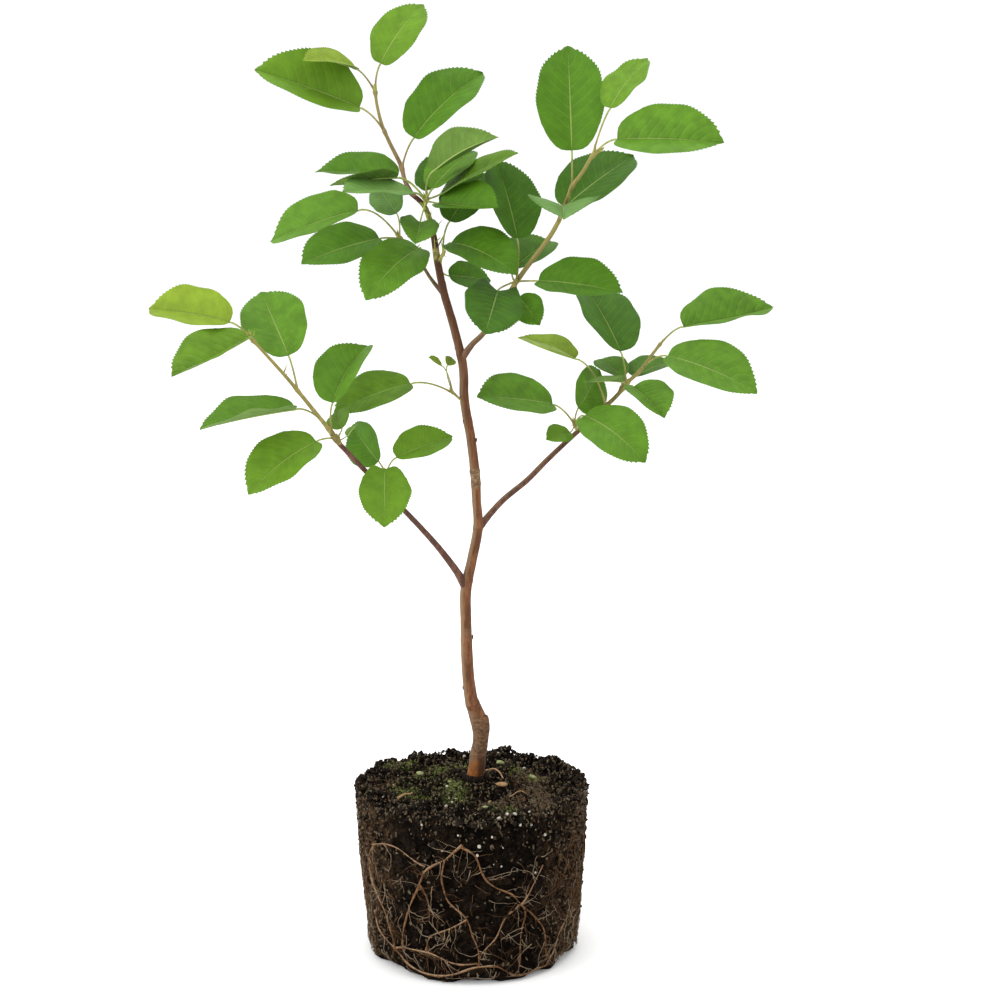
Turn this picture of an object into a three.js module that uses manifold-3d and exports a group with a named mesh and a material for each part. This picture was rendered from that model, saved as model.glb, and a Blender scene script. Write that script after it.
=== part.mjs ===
// A young serviceberry, about half a metre tall, lifted out of its pot with the root ball whole.
// Millimetres, +Z up. The origin is the middle of the root ball's flat underside, and the front faces -Y.
// Headings are degrees round from +X towards +Y, and rises are degrees above level.
import * as THREE from "three";
import * as BufferGeometryUtils from "three/addons/utils/BufferGeometryUtils.js";
import Module from "manifold-3d";

const wasm = await Module();
wasm.setup();

// Clear gap between pieces that meet
const CLEARANCE = 0.3;
const SEED = 41;

// Root ball: the soil of a one-litre round pot
const BALL = {
  height: 91,
  footRadius: 56.2,
  rimRadius: 62.6,
  edgeRound: 2.6,
  sides: 48,
  wallShares: [0.1, 0.26, 0.42, 0.58, 0.74, 0.9],
  topShares: [0.82, 0.62, 0.42, 0.22, 0],
};

// Unevenness of the wall: rise, waves round the ball, waves along its height and start
const WALL_WAVES = [
  [0.4, 3, 0.07, 1.3],
  [0.24, 7, -0.11, 4.1],
  [0.16, 13, 0.19, 2.2],
];

// Unevenness of the soil's top: rise, waves along x, waves along y and start
const SOIL_WAVES = [
  [0.6, 0.17, 0.15, 0.2],
  [0.6, 0.17, -0.15, 1.0],
  [0.8, 0.33, -0.21, 2.0],
  [0.55, 0.41, 0.28, 2.7],
];

// Crumbs of soil standing up round the rim: x, y, rise and spread
const CLODS = [
  [-49, 36, 4.2, 7],
  [-60, 2, 4.6, 6],
  [-14, 56, 3.4, 6],
  [22, 52, 4.0, 9],
  [47, 36, 3.2, 7],
  [-57, -8, 2.4, 6],
  [38, -40, 1.8, 9],
];

// The soil is level this far round the trunk's foot, and rough past the second radius
const LEVEL_RADIUS = 13;
const ROUGH_RADIUS = 26;

// Leaf blades: thickness at the midrib (least, and as a share of the length), widest place, how full the
// outline is towards the base and the tip, cross-sections along the midrib, and how much the edges wave
const LEAF = {
  thickness: 0.9,
  thicknessShare: 1 / 50,
  widest: 0.47,
  fullBase: 0.52,
  fullTip: 0.72,
  end: 0.02,
  stations: [0.01, 0.09, 0.25, 0.47, 0.68, 0.86, 0.96, 1],
  wave: 0.02,
};

// Leaf stalks: thickness at the shoot and at the blade, and how soon they turn to the blade's own line
const STALK = { foot: 1.5, neck: 1.1, lead: 0.4, steps: 4 };

// Sides of the tubes, and cross-sections between the places named on them
const TUBES = { trunkSides: 10, boughSides: 8, stemSides: 6, trunkSteps: 2, boughSteps: 3, stemSteps: 2 };

// Roots on the outside of the ball: how clear they lie of the soil, and the length of their straight runs
const ROOT = { clear: 0.5, sides: 4, step: 9 };

// Colour and roughness of the solids
const SOIL = { color: 0x2c2018, roughness: 0.95 };
const ROOTS = { color: 0x9a6a3c, roughness: 0.8 };
const BARK = { color: 0x7b5540, roughness: 0.75 };
const FOLIAGE = { color: 0x568f2c, roughness: 0.55 };

// Trunk from the soil to the first leaves of the top shoot: x, y, z and thickness
const TRUNK = [
  [1.4, 4, 93.8, 9.8],
  [1.9, 4, 96.5, 9.2],
  [2.5, 4, 100, 8.8],
  [3.1, 4, 107, 8.5],
  [4.1, 4, 112.5, 7.8],
  [4.8, 4, 118, 8.3],
  [5.1, 4, 122.5, 9.3],
  [4.2, 4, 128, 9.5],
  [2.0, 4, 133, 7.3],
  [0.4, 3, 138, 6.6],
  [-1.4, 2, 149, 5.9],
  [-2.7, 1, 161, 5.5],
  [-3.0, -1, 180, 5.3],
  [-3.3, -2, 200, 5.5],
  [-0.5, -2, 216, 5.2],
  [3.2, -1, 234, 4.6],
  [2.7, 0, 248, 4.5],
  [2.1, 1, 259, 4.6],
  [0, 2, 280, 4.3],
  [-3.3, 3, 301, 4.2],
  [-4.2, 4, 318, 4.1],
  [-9, 4, 339, 4.0],
  [-14.3, 3, 358, 3.8],
  [-17.4, 1, 374, 3.5],
  [-19.1, 0, 386, 3.1],
  [-21.2, 1, 395, 2.8],
  [-24.3, 3, 402.5, 2.7],
  [-31.5, 6, 409, 2.5],
];

// Boughs, each from the trunk's heart to where its shoot of leaves begins
const BOUGHS = {
  left_bough: [
    [-3.2, -2, 204, 4.8],
    [-8.0, -5, 211, 3.7],
    [-16.5, -12, 224, 3.3],
    [-25.1, -20, 236, 3.0],
    [-35.1, -29, 249, 2.8],
    [-53.2, -42, 271, 2.6],
    [-66.1, -51, 287, 2.6],
  ],
  right_bough: [
    [3.0, -1, 232, 4.4],
    [9.0, 3, 239, 3.5],
    [16.6, 8, 246.5, 3.2],
    [29.4, 17, 255.5, 3.1],
    [40.2, 25, 265, 2.9],
    [51.7, 33, 274.5, 2.7],
    [71.6, 45.7, 290.3, 2.5],
  ],
  upper_right_bough: [
    [-5.0, 4, 323, 4.2],
    [0.4, 1, 330.5, 3.1],
    [6.7, -5, 337.5, 2.8],
    [15.0, -12, 351.5, 2.7],
    [26.2, -21, 369.5, 2.5],
    [40.2, -31, 389.5, 2.4],
    [45.1, -34, 398.3, 2.3],
  ],
};

// Masses of leaves. Each has a stem (x, y, z, thickness) that starts inside its limb and is trimmed clear
// of it, and leaves: place along the stem, stalk (length, heading, rise), blade (length, width), the blade's
// aim (heading, rise, roll), how far its halves fold up and how far its tip droops.
const MASSES = {
  top_shoot_leaves: {
    stem: [
      [-30.4, 5.6, 408, 2.4],
      [-34.2, 8, 415, 2.3],
      [-36.3, 10, 422.5, 2.2],
      [-42.5, 12, 435, 2.0],
      [-46, 13.5, 443, 1.8],
      [-48.7, 15, 453.5, 1.6],
      [-49.7, 16, 461, 1.5],
    ],
    leaves: [
      { at: 57, stalk: [15, 37, 77], blade: [39, 26], aim: [33, 49, 31], fold: 10, droop: 34 },
      { at: 57, stalk: [16, -160, 49], blade: [31, 21], aim: [-143, 8, -24], fold: 18, droop: 24 },
      { at: 36, stalk: [18, -167, 44], blade: [56, 40], aim: [-169, 20, -47], fold: 28, droop: 5 },
      { at: 15, stalk: [17, 1, 68], blade: [52, 35], aim: [32, 38, 27], fold: 22, droop: 30 },
    ],
  },
  heart_leaves: {
    stem: [
      [-23.9, 2.4, 402, 2.4],
      [-22.6, -1.8, 407.5, 2.6],
    ],
    leaves: [
      { at: 4, stalk: [20, 158, 36], blade: [43, 30], aim: [168, 3, -22], fold: 22, droop: 12 },
      { at: 4, stalk: [20, -160, 38], blade: [36, 20], aim: [-153, -5, 21], fold: 10, droop: 12 },
      { at: 3, stalk: [12, -125, 28], blade: [42, 29], aim: [-143, 3, -16], fold: 12, droop: 8 },
      { at: 5, stalk: [13, -121, -62], blade: [27, 21], aim: [-93, -18, -12], fold: 22, droop: 12 },
      { at: 6, stalk: [18, -66, 55], blade: [42, 26], aim: [-34, 24, -23], fold: 28, droop: 30 },
      { at: 5, stalk: [10, -63, 38], blade: [36, 25], aim: [50, 29, 8], fold: 16, droop: 20 },
      { at: 5, stalk: [9.5, -10, 22], blade: [46, 26], aim: [-24, 26.5, 24], fold: 10, droop: 12 },
      { at: 4, stalk: [11, -50, -4], blade: [41, 28], aim: [-44, 0, 31], fold: 30, droop: -8 },
      { at: 6, stalk: [6, 65, 45], blade: [23, 15], aim: [97, 41, -39], fold: 12, droop: 12 },
    ],
  },
  collar_leaves: {
    stem: [
      [-17.4, 1, 374, 2.2],
      [-14.6, -3.2, 377.5, 2.2],
      [-13.6, -4.4, 380, 2.2],
    ],
    leaves: [
      { at: 7, stalk: [19, 72, 58], blade: [35, 25], aim: [48, 41, 27], fold: 17, droop: 12 },
      { at: 7, stalk: [9.5, -54, 40], blade: [42, 31], aim: [-35, -19, 27], fold: 18, droop: 40 },
      { at: 5.5, stalk: [17, 75, -42], blade: [26, 18], aim: [35, -9, 51], fold: 12, droop: 12 },
    ],
  },
  side_shoot_leaves: {
    stem: [
      [-14.2, 3, 356, 2.4],
      [-21.6, 8, 365, 1.9],
      [-26.2, 12, 372, 1.7],
      [-32, 15, 380, 1.5],
      [-38, 17, 385, 1.4],
    ],
    leaves: [
      { at: 40, stalk: [13, 118, 75], blade: [25, 18], aim: [120, 30, -35], fold: 15, droop: 12 },
      { at: 40, stalk: [27, 162, 31], blade: [54, 34], aim: [158, -19, -41], fold: 23, droop: 12 },
      { at: 39, stalk: [12, -157, 3], blade: [44, 33], aim: [-155, -15, -29], fold: 14, droop: 15 },
      { at: 29, stalk: [10, -72, 16], blade: [44, 31], aim: [-134, -32, -27], fold: 14, droop: 45 },
    ],
  },
  upper_right_spur_leaves: {
    stem: [
      [21.8, -17.5, 362.5, 2.2],
      [23.6, -22, 366.5, 2.4],
    ],
    leaves: [
      { at: 5, stalk: [22, 83, 78], blade: [46, 32], aim: [114, 55, 5], fold: 24, droop: 12 },
      { at: 4, stalk: [12, 94, 30], blade: [35, 27], aim: [56, 20, 15], fold: 24, droop: 12 },
      { at: 5, stalk: [13, -30, 4], blade: [45, 30], aim: [-24, -5, 34], fold: 22, droop: 14 },
      { at: 5, stalk: [12, -147, -21], blade: [39, 30], aim: [-100, -26, -18], fold: 13, droop: 12 },
      { at: 4, stalk: [8, -60, -60], blade: [21, 16], aim: [-55, -36, 40], fold: 12, droop: 12 },
    ],
  },
  upper_right_shoot_leaves: {
    stem: [
      [44.4, -33.6, 397, 2.3],
      [49, -38, 409.6, 2.1],
      [51, -40, 415, 2.0],
      [56, -42, 422, 1.9],
      [61, -45, 430.5, 1.7],
      [64.4, -46, 433, 1.6],
    ],
    leaves: [
      { at: 20, stalk: [18, 93, 80], blade: [55, 36], aim: [94, 66, -4], fold: 20, droop: 12 },
      { at: 39, stalk: [25, -8, 70], blade: [33, 24], aim: [38, 45, 7], fold: 12, droop: 18 },
      { at: 40, stalk: [15, -30, 31], blade: [53, 36], aim: [-20, -1, 45], fold: 26, droop: 12 },
      { at: 6, stalk: [6, 78, 15], blade: [49, 35], aim: [35, 29, 22], fold: 17, droop: 13 },
      { at: 6, stalk: [4, -89, 40], blade: [38, 36], aim: [-91, -5, -1], fold: 22, droop: 12 },
    ],
  },
  left_spur_leaves: {
    stem: [
      [-42.6, -34.3, 257.6, 2.2],
      [-43, -37, 264.5, 1.9],
      [-43.6, -38, 270, 1.9],
    ],
    leaves: [
      { at: 12, stalk: [9, 122, 37], blade: [28, 22], aim: [127, 33, -72], fold: 18, droop: 12 },
      { at: 11, stalk: [11, 26, 56], blade: [33, 24], aim: [31, 14, 27], fold: 20, droop: 10 },
      { at: 10, stalk: [8, -95, 42], blade: [36, 26], aim: [-88, -41, -5], fold: 14, droop: 12 },
    ],
  },
  left_shoot_leaves: {
    stem: [
      [-65.2, -50.3, 285.8, 2.6],
      [-70.3, -54, 294, 2.3],
      [-77.7, -60, 305, 2.1],
      [-89.8, -67, 322, 1.8],
      [-101.9, -72, 337, 1.5],
      [-106.9, -74, 343, 1.4],
    ],
    leaves: [
      { at: 74, stalk: [14, 174, 38], blade: [45, 30], aim: [157, 6, -35], fold: 27, droop: 12 },
      { at: 73, stalk: [5, -115, 28], blade: [45, 32], aim: [-143, -20, -13], fold: 32, droop: -10 },
      { at: 39, stalk: [18, 141, 71], blade: [45, 33], aim: [117, 38, -22], fold: 15, droop: 12 },
      { at: 12, stalk: [21, -152, 32], blade: [48, 34], aim: [-160, -9, -4], fold: 25, droop: 8 },
      { at: 5, stalk: [12, -140, -1], blade: [43, 32], aim: [-151, -32, -27], fold: 18, droop: 30 },
      { at: 9, stalk: [15, 82, 77], blade: [41, 32], aim: [62, 37, -1], fold: 30, droop: 32 },
      { at: 5, stalk: [7, 60, 38], blade: [19, 13], aim: [100, 18, -31], fold: 12, droop: 12 },
      { at: 3, stalk: [6, -7, 33], blade: [10, 6], aim: [-50, 38, 20], fold: 26, droop: 12 },
    ],
  },
  right_spur_leaves: {
    stem: [
      [57, 37, 278.5, 2.2],
      [55, 33, 283.5, 2.4],
    ],
    leaves: [
      { at: 6, stalk: [11, -55, 33], blade: [43, 32], aim: [-36, -29, 31], fold: 13, droop: 45 },
      { at: 6, stalk: [17, -164, 43], blade: [45, 32], aim: [-153, 9, -36], fold: 18, droop: 12 },
      { at: 6, stalk: [10, 68, 55], blade: [32, 24], aim: [64, 32, 68], fold: 12, droop: 12 },
      { at: 5.5, stalk: [5, -143, -45], blade: [19, 13], aim: [-131, -4, -38], fold: 14, droop: 12 },
    ],
  },
  right_shoot_leaves: {
    stem: [
      [70.6, 45, 289.5, 2.5],
      [79.3, 50, 297, 2.3],
      [83.2, 52, 302, 2.3],
      [91.6, 57, 309, 2.0],
      [98.8, 61, 318, 1.8],
      [103.3, 63, 323.5, 1.6],
    ],
    leaves: [
      { at: 50, stalk: [16, 4, 37], blade: [56, 38], aim: [24, 8, 23], fold: 30, droop: -8 },
      { at: 31, stalk: [18, -19, 30], blade: [53, 38], aim: [-23, -19, 29], fold: 16, droop: 24 },
      { at: 20, stalk: [18, 169, 80], blade: [51, 37], aim: [116, 37, 3], fold: 22, droop: 12 },
      { at: 18, stalk: [8, -50, 5], blade: [32, 27], aim: [-60, -23, 8], fold: 28, droop: 12 },
      { at: 21, stalk: [9, 62, 13], blade: [32, 24], aim: [45, 10, 7], fold: 17, droop: 12 },
      { at: 17, stalk: [9, 88, 34], blade: [26, 18], aim: [118, 14, -12], fold: 18, droop: 12 },
      { at: 16, stalk: [7, -89, 45], blade: [27, 17], aim: [-140, 4, 19], fold: 10, droop: 12 },
      { at: 3, stalk: [31, 157, 54], blade: [36, 24], aim: [150, 14, -3], fold: 30, droop: -8 },
    ],
  },
  trunk_spur_leaves: {
    stem: [
      [-3.3, 3, 299, 2.0],
      [-8.8, 0.2, 304.6, 1.6],
      [-11, -1.6, 307.6, 1.5],
    ],
    leaves: [
      { at: 8, stalk: [26.5, -154, 16], blade: [42, 32], aim: [-165, -19, -24], fold: 13, droop: 18 },
      { at: 10.5, stalk: [15.5, -150, 66], blade: [9, 6], aim: [-143, 30, -40], fold: 14, droop: 12 },
      { at: 10.5, stalk: [14, 170, 80], blade: [8, 6], aim: [75, 20, 37], fold: 18, droop: 12 },
    ],
  },
};

// Roots seen on the front of the ball: thickness, then places as degrees round from the front and height
const FRONT_ROOTS = [
  { thick: 1.9, way: [[-56, 70], [-62, 62], [-63, 54], [-58, 43], [-51, 31], [-46, 20], [-45, 14]] },
  { thick: 1.3, way: [[-63, 30], [-58, 21], [-52, 17], [-45, 14]] },
  { thick: 1.2, way: [[-57, 69], [-48, 72], [-37, 71], [-23, 65]] },
  { thick: 1.8, way: [[-45, 14], [-37, 8], [-24, 4], [-10, 5], [3, 10], [13, 10], [24, 4], [44, 4]] },
  { thick: 1.6, way: [[-45, 14], [-35, 16], [-22, 17], [-9, 12], [3, 12]] },
  { thick: 1.7, way: [[-4, 79], [-12, 71], [-22, 63], [-28, 51], [-35, 36], [-38, 24], [-39, 14]] },
  { thick: 1.2, way: [[-26, 54], [-22, 45], [-22, 34]] },
  { thick: 1.4, way: [[-13, 70], [-15, 58], [-12, 48], [-3, 39], [1, 28], [3, 20], [4, 10]] },
  { thick: 1.2, way: [[-2, 37], [-12, 31], [-21, 25], [-25, 16]] },
  { thick: 1.6, way: [[-5, 78], [2, 73], [6, 63], [12, 55], [21, 49], [26, 43]] },
  { thick: 1.4, way: [[26, 43], [33, 36], [40, 26], [43, 16], [45, 4]] },
  { thick: 1.2, way: [[26, 43], [29, 36], [27, 26], [27, 12], [25, 4]] },
  { thick: 1.2, way: [[25, 43], [19, 37], [14, 27], [6, 18], [3, 10]] },
  { thick: 1.1, way: [[26, 43], [31, 51], [38, 63]] },
  { thick: 1.3, way: [[67, 30], [57, 22], [50, 12], [44, 4]] },
];

// Roots round the back grow down from a ring of starts by a seeded rule, and join one long root near the foot
const BACK_ROOTS = {
  starts: [100, 122, 144, 167, 190, 212, 236, 257],
  top: 74,
  foot: 9,
  steps: 6,
  wander: 18,
  sag: 6,
  ringSag: 5,
  ringThick: 1.8,
  thick: 1.2,
  thickSpread: 0.4,
};

function random(seed) {
  let state = seed;
  return () => {
    state = (state * 16807) % 2147483647;
    return state / 2147483647;
  };
}

function radians(degrees) {
  return THREE.MathUtils.degToRad(degrees);
}

// Joining and cutting closed shapes
function solidOf(geometry) {
  const bare = geometry.clone();
  bare.deleteAttribute("normal");
  bare.deleteAttribute("uv");
  const merged = BufferGeometryUtils.mergeVertices(bare, 1e-4);
  const vertProperties = new Float32Array(merged.attributes.position.array);
  const triVerts = new Uint32Array(merged.index.array);
  return new wasm.Manifold(new wasm.Mesh({ numProp: 3, vertProperties, triVerts }));
}

function geometryOf(solid) {
  const mesh = solid.getMesh();
  const geometry = new THREE.BufferGeometry();
  geometry.setAttribute("position", new THREE.BufferAttribute(new Float32Array(mesh.vertProperties), 3));
  geometry.setIndex(new THREE.BufferAttribute(new Uint32Array(mesh.triVerts), 1));
  geometry.computeVertexNormals();
  return geometry;
}

function fused(solids) {
  return solids.reduce((whole, piece) => whole.add(piece));
}

function largest(solid) {
  const pieces = solid.decompose();
  return pieces.reduce((best, piece) => (piece.volume() > best.volume() ? piece : best));
}

function touches(solid, others) {
  return others.some((other) => solid.intersect(other).volume() > 0);
}

// A closed skin over rings of equal numbers of points, with flat ends
function loft(rings) {
  const sides = rings[0].length;
  const positions = rings.flat().flatMap((point) => [point.x, point.y, point.z]);
  const faces = [];
  for (let ring = 0; ring + 1 < rings.length; ring += 1) {
    for (let side = 0; side < sides; side += 1) {
      const a = ring * sides + side;
      const b = ring * sides + ((side + 1) % sides);
      faces.push(a, b, b + sides, a, b + sides, a + sides);
    }
  }
  const last = (rings.length - 1) * sides;
  for (let side = 1; side + 1 < sides; side += 1) {
    faces.push(0, side + 1, side);
    faces.push(last, last + side, last + side + 1);
  }
  const geometry = new THREE.BufferGeometry();
  geometry.setAttribute("position", new THREE.Float32BufferAttribute(positions, 3));
  geometry.setIndex(faces);
  return geometry;
}

// Limbs
function curveOf(rows) {
  const points = rows.map(([x, y, z]) => new THREE.Vector3(x, y, z));
  return new THREE.CatmullRomCurve3(points, false, "centripetal");
}

function thicknessAt(rows, share) {
  const place = share * (rows.length - 1);
  const before = Math.min(Math.floor(place), rows.length - 2);
  return THREE.MathUtils.lerp(rows[before][3], rows[before + 1][3], place - before);
}

function ringAround(centre, along, reference, radius, sides) {
  const across = reference.clone().addScaledVector(along, -reference.dot(along)).normalize();
  const other = along.clone().cross(across);
  return Array.from({ length: sides }, (_, side) => {
    const turn = (2 * Math.PI * side) / sides;
    return centre
      .clone()
      .addScaledVector(across, radius * Math.cos(turn))
      .addScaledVector(other, radius * Math.sin(turn));
  });
}

// One tapering limb through rows of x, y, z and thickness. The margin swells it and lengthens both its ends.
function limb(rows, { sides, steps, margin = 0, levelFoot = false }) {
  const curve = curveOf(rows);
  const reference = new THREE.Vector3(0, -1, 0);
  const rings = [];
  for (let step = 0; step <= steps; step += 1) {
    const share = step / steps;
    const centre = curve.getPoint(share);
    const along = curve.getTangent(share);
    if (step === 0 && levelFoot) {
      along.set(0, 0, 1);
    }
    if (step === 0 || step === steps) {
      centre.addScaledVector(along, step === 0 ? -margin : margin);
    }
    rings.push(ringAround(centre, along, reference, thicknessAt(rows, share) / 2 + margin, sides));
  }
  return solidOf(loft(rings));
}

// Leaves
function direction(heading, rise) {
  const level = Math.cos(radians(rise));
  return new THREE.Vector3(
    level * Math.cos(radians(heading)),
    level * Math.sin(radians(heading)),
    Math.sin(radians(rise)),
  );
}

function bladeAxes([heading, rise, roll]) {
  const along = direction(heading, rise);
  const up = direction(heading, rise + 90).applyAxisAngle(along, radians(roll));
  return { along, up, right: along.clone().cross(up) };
}

// Share of the blade's greatest width at a share of its length: broad, with a rounded base and a blunt tip
function fullness(share) {
  const { widest, fullBase, fullTip } = LEAF;
  const base = share < widest;
  const away = base ? (widest - share) / widest : (share - widest) / (1 - widest);
  return Math.max((1 - away * away) ** (base ? fullBase : fullTip), LEAF.end);
}

// The midrib bends evenly from above the aim to below it, with its two ends on the aim
function midrib(base, axes, length, droop, share) {
  const bend = Math.abs(droop) < 1 ? radians(1) : radians(droop);
  const size = (length * bend) / 2 / Math.sin(bend / 2);
  const forward = (Math.sin(bend / 2) - Math.sin(bend / 2 - bend * share)) / bend;
  const upward = (Math.cos(bend / 2 - bend * share) - Math.cos(bend / 2)) / bend;
  const slope = bend / 2 - bend * share;
  return {
    point: base.clone().addScaledVector(axes.along, size * forward).addScaledVector(axes.up, size * upward),
    along: axes.along.clone().multiplyScalar(Math.cos(slope)).addScaledVector(axes.up, Math.sin(slope)),
    up: axes.up.clone().multiplyScalar(Math.cos(slope)).addScaledVector(axes.along, -Math.sin(slope)),
  };
}

// Cross-sections of a blade: two halves folded up from the midrib, thinning to the edges
function bladeRings(base, { blade: [length, width], aim, fold, droop }, chance) {
  const axes = bladeAxes(aim);
  const thick = Math.max(LEAF.thickness, length * LEAF.thicknessShare);
  return LEAF.stations.map((share) => {
    const { point, up } = midrib(base, axes, length, droop, share);
    const half = (width / 2) * fullness(share);
    const edge = (side) => {
      const out = side * half * Math.cos(radians(fold));
      const lift = half * Math.sin(radians(fold)) + length * LEAF.wave * (chance() - 0.5);
      return point.clone().addScaledVector(axes.right, out).addScaledVector(up, lift);
    };
    const face = (side) => point.clone().addScaledVector(up, (side * thick) / 2);
    return [edge(-1), face(1), edge(1), face(-1)];
  });
}

// Cross-sections of a stalk from its foot on the shoot, turning into the line of the blade at its neck
function stalkRings(foot, neck, { blade: [length], aim, droop }) {
  const axes = bladeAxes(aim);
  const start = midrib(neck, axes, length, droop, 0).along;
  const lead = neck.clone().addScaledVector(start, -STALK.lead * foot.distanceTo(neck));
  const bend = new THREE.QuadraticBezierCurve3(foot, lead, neck);
  const across = axes.right.clone().negate();
  const rings = [];
  for (let step = STALK.steps; step >= 0; step -= 1) {
    const share = step / STALK.steps;
    const along = bend.getTangent(share);
    const radius = THREE.MathUtils.lerp(STALK.foot, STALK.neck, share) / 2;
    across.addScaledVector(along, -across.dot(along)).normalize();
    rings.unshift(ringAround(bend.getPoint(share), along, across, radius, 4));
  }
  return rings;
}

// A stem with its leaves, kept clear of the limbs and of the masses already grown
function mass({ stem, leaves }, limbs, grown, chance) {
  const curve = curveOf(stem);
  const length = curve.getLength();
  const parts = [limb(stem, { sides: TUBES.stemSides, steps: TUBES.stemSteps * (stem.length - 1) })];
  for (const leaf of leaves) {
    const foot = curve.getPointAt(Math.min(leaf.at / length, 1));
    const neck = foot.clone().addScaledVector(direction(leaf.stalk[1], leaf.stalk[2]), leaf.stalk[0]);
    const blade = bladeRings(neck, leaf, chance);
    const whole = solidOf(loft([...stalkRings(foot, neck, leaf), ...blade]));
    if (!touches(solidOf(loft(blade)), limbs) && !touches(whole, grown)) {
      parts.push(whole);
    }
  }
  return largest(limbs.reduce((left, cut) => left.subtract(cut), fused(parts)));
}

// Root ball
function wallRadius(turn, height) {
  const straight = THREE.MathUtils.lerp(BALL.footRadius, BALL.rimRadius, height / BALL.height);
  return WALL_WAVES.reduce(
    (radius, [rise, round, upward, start]) => radius + rise * Math.sin(round * turn + upward * height + start),
    straight,
  );
}

function soilTop(x, y) {
  const foot = TRUNK[0];
  const away = Math.hypot(x - foot[0], y - foot[1]);
  const rough = THREE.MathUtils.smoothstep(away, LEVEL_RADIUS, ROUGH_RADIUS);
  let height = BALL.height;
  for (const [rise, alongX, alongY, start] of SOIL_WAVES) {
    height += rise * Math.sin(alongX * x + alongY * y + start);
  }
  for (const [clodX, clodY, rise, spread] of CLODS) {
    height += rise * Math.exp(-((x - clodX) ** 2 + (y - clodY) ** 2) / spread ** 2);
  }
  return THREE.MathUtils.lerp(foot[2] - CLEARANCE, height, rough);
}

function rootBall() {
  const { height, footRadius, rimRadius, edgeRound, sides } = BALL;
  const profile = [
    new THREE.Vector2(0, 0),
    new THREE.Vector2(0.5 * footRadius, 0),
    new THREE.Vector2(footRadius - edgeRound, 0),
    new THREE.Vector2(footRadius - 0.3 * edgeRound, 0.3 * edgeRound),
    ...BALL.wallShares.map((share) => new THREE.Vector2(footRadius, share * height)),
    new THREE.Vector2(rimRadius - 0.5 * edgeRound, height),
    ...BALL.topShares.map((share) => new THREE.Vector2(share * rimRadius, height)),
  ];
  const geometry = new THREE.LatheGeometry(profile, sides);
  geometry.rotateX(Math.PI / 2);
  const position = geometry.attributes.position;
  for (let index = 0; index < position.count; index += 1) {
    const x = position.getX(index);
    const y = position.getY(index);
    const z = position.getZ(index);
    const turn = Math.atan2(x, -y);
    if (z >= height) {
      position.setZ(index, soilTop(x, y));
    } else if (z > edgeRound) {
      const radius = wallRadius(turn, z);
      position.setXY(index, radius * Math.sin(turn), -radius * Math.cos(turn));
    }
  }
  return solidOf(geometry);
}

function onWall(turn, height, off) {
  const angle = radians(turn);
  const radius = wallRadius(angle, height) + off;
  return [radius * Math.sin(angle), -radius * Math.cos(angle), height];
}

// One root that follows the ball's wall between its places
function rootAlong(way, thick) {
  const off = ROOT.clear + thick / 2;
  const places = curveOf(way.map(([turn, height]) => [turn, height, 0]));
  const steps = Math.max(3, Math.round(places.getLength() / ROOT.step));
  const rows = places.getPoints(steps).map(({ x, y }) => [...onWall(x, y, off), thick]);
  return limb(rows, { sides: ROOT.sides, steps });
}

function frontRoots() {
  return largest(fused(FRONT_ROOTS.map(({ thick, way }) => rootAlong(way, thick))));
}

function backRoots(chance) {
  const { starts, top, foot, steps, wander, sag, ringSag, ringThick, thick, thickSpread } = BACK_ROOTS;
  const ring = starts.map((turn) => [turn, foot + ringSag * (chance() - 0.5)]);
  const roots = [rootAlong(ring, ringThick)];
  starts.forEach((start, index) => {
    const way = [];
    for (let step = 0; step < steps; step += 1) {
      const height = THREE.MathUtils.lerp(top, foot, step / steps) - sag * chance();
      way.push([start + wander * (chance() - 0.5), height]);
    }
    way.push(ring[index]);
    roots.push(rootAlong(way, thick + thickSpread * chance()));
  });
  return largest(fused(roots));
}

function named(name, solid, look) {
  const mesh = new THREE.Mesh(geometryOf(solid), new THREE.MeshStandardMaterial({ ...look, metalness: 0 }));
  mesh.name = name;
  return mesh;
}

const chance = random(SEED);
const tree = new THREE.Group();
tree.add(named("root_ball", rootBall(), SOIL));
tree.add(named("front_roots", frontRoots(), ROOTS));
tree.add(named("back_roots", backRoots(chance), ROOTS));

const trunkSteps = TUBES.trunkSteps * (TRUNK.length - 1);
const trunkShape = { sides: TUBES.trunkSides, steps: trunkSteps, levelFoot: true };
tree.add(named("trunk", limb(TRUNK, trunkShape), BARK));

// The limbs swollen by the clear gap, which everything that grows from them is cut back to
const limbs = [limb(TRUNK, { ...trunkShape, margin: CLEARANCE })];
for (const [name, rows] of Object.entries(BOUGHS)) {
  const shape = { sides: TUBES.boughSides, steps: TUBES.boughSteps * (rows.length - 1) };
  tree.add(named(name, largest(limb(rows, shape).subtract(limbs[0])), BARK));
  limbs.push(limb(rows, { ...shape, margin: CLEARANCE }));
}

const grown = [];
for (const [name, rows] of Object.entries(MASSES)) {
  const leaves = mass(rows, limbs, grown, chance);
  grown.push(leaves);
  tree.add(named(name, leaves, FOLIAGE));
}

export default tree;
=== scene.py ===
"""A young serviceberry lifted out of its pot, with its root ball, leaves and fine roots."""

import math
import random

import bpy
import numpy as np
from bpy.props import FloatProperty, FloatVectorProperty, IntProperty, PointerProperty
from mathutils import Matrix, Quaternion, Vector


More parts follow.
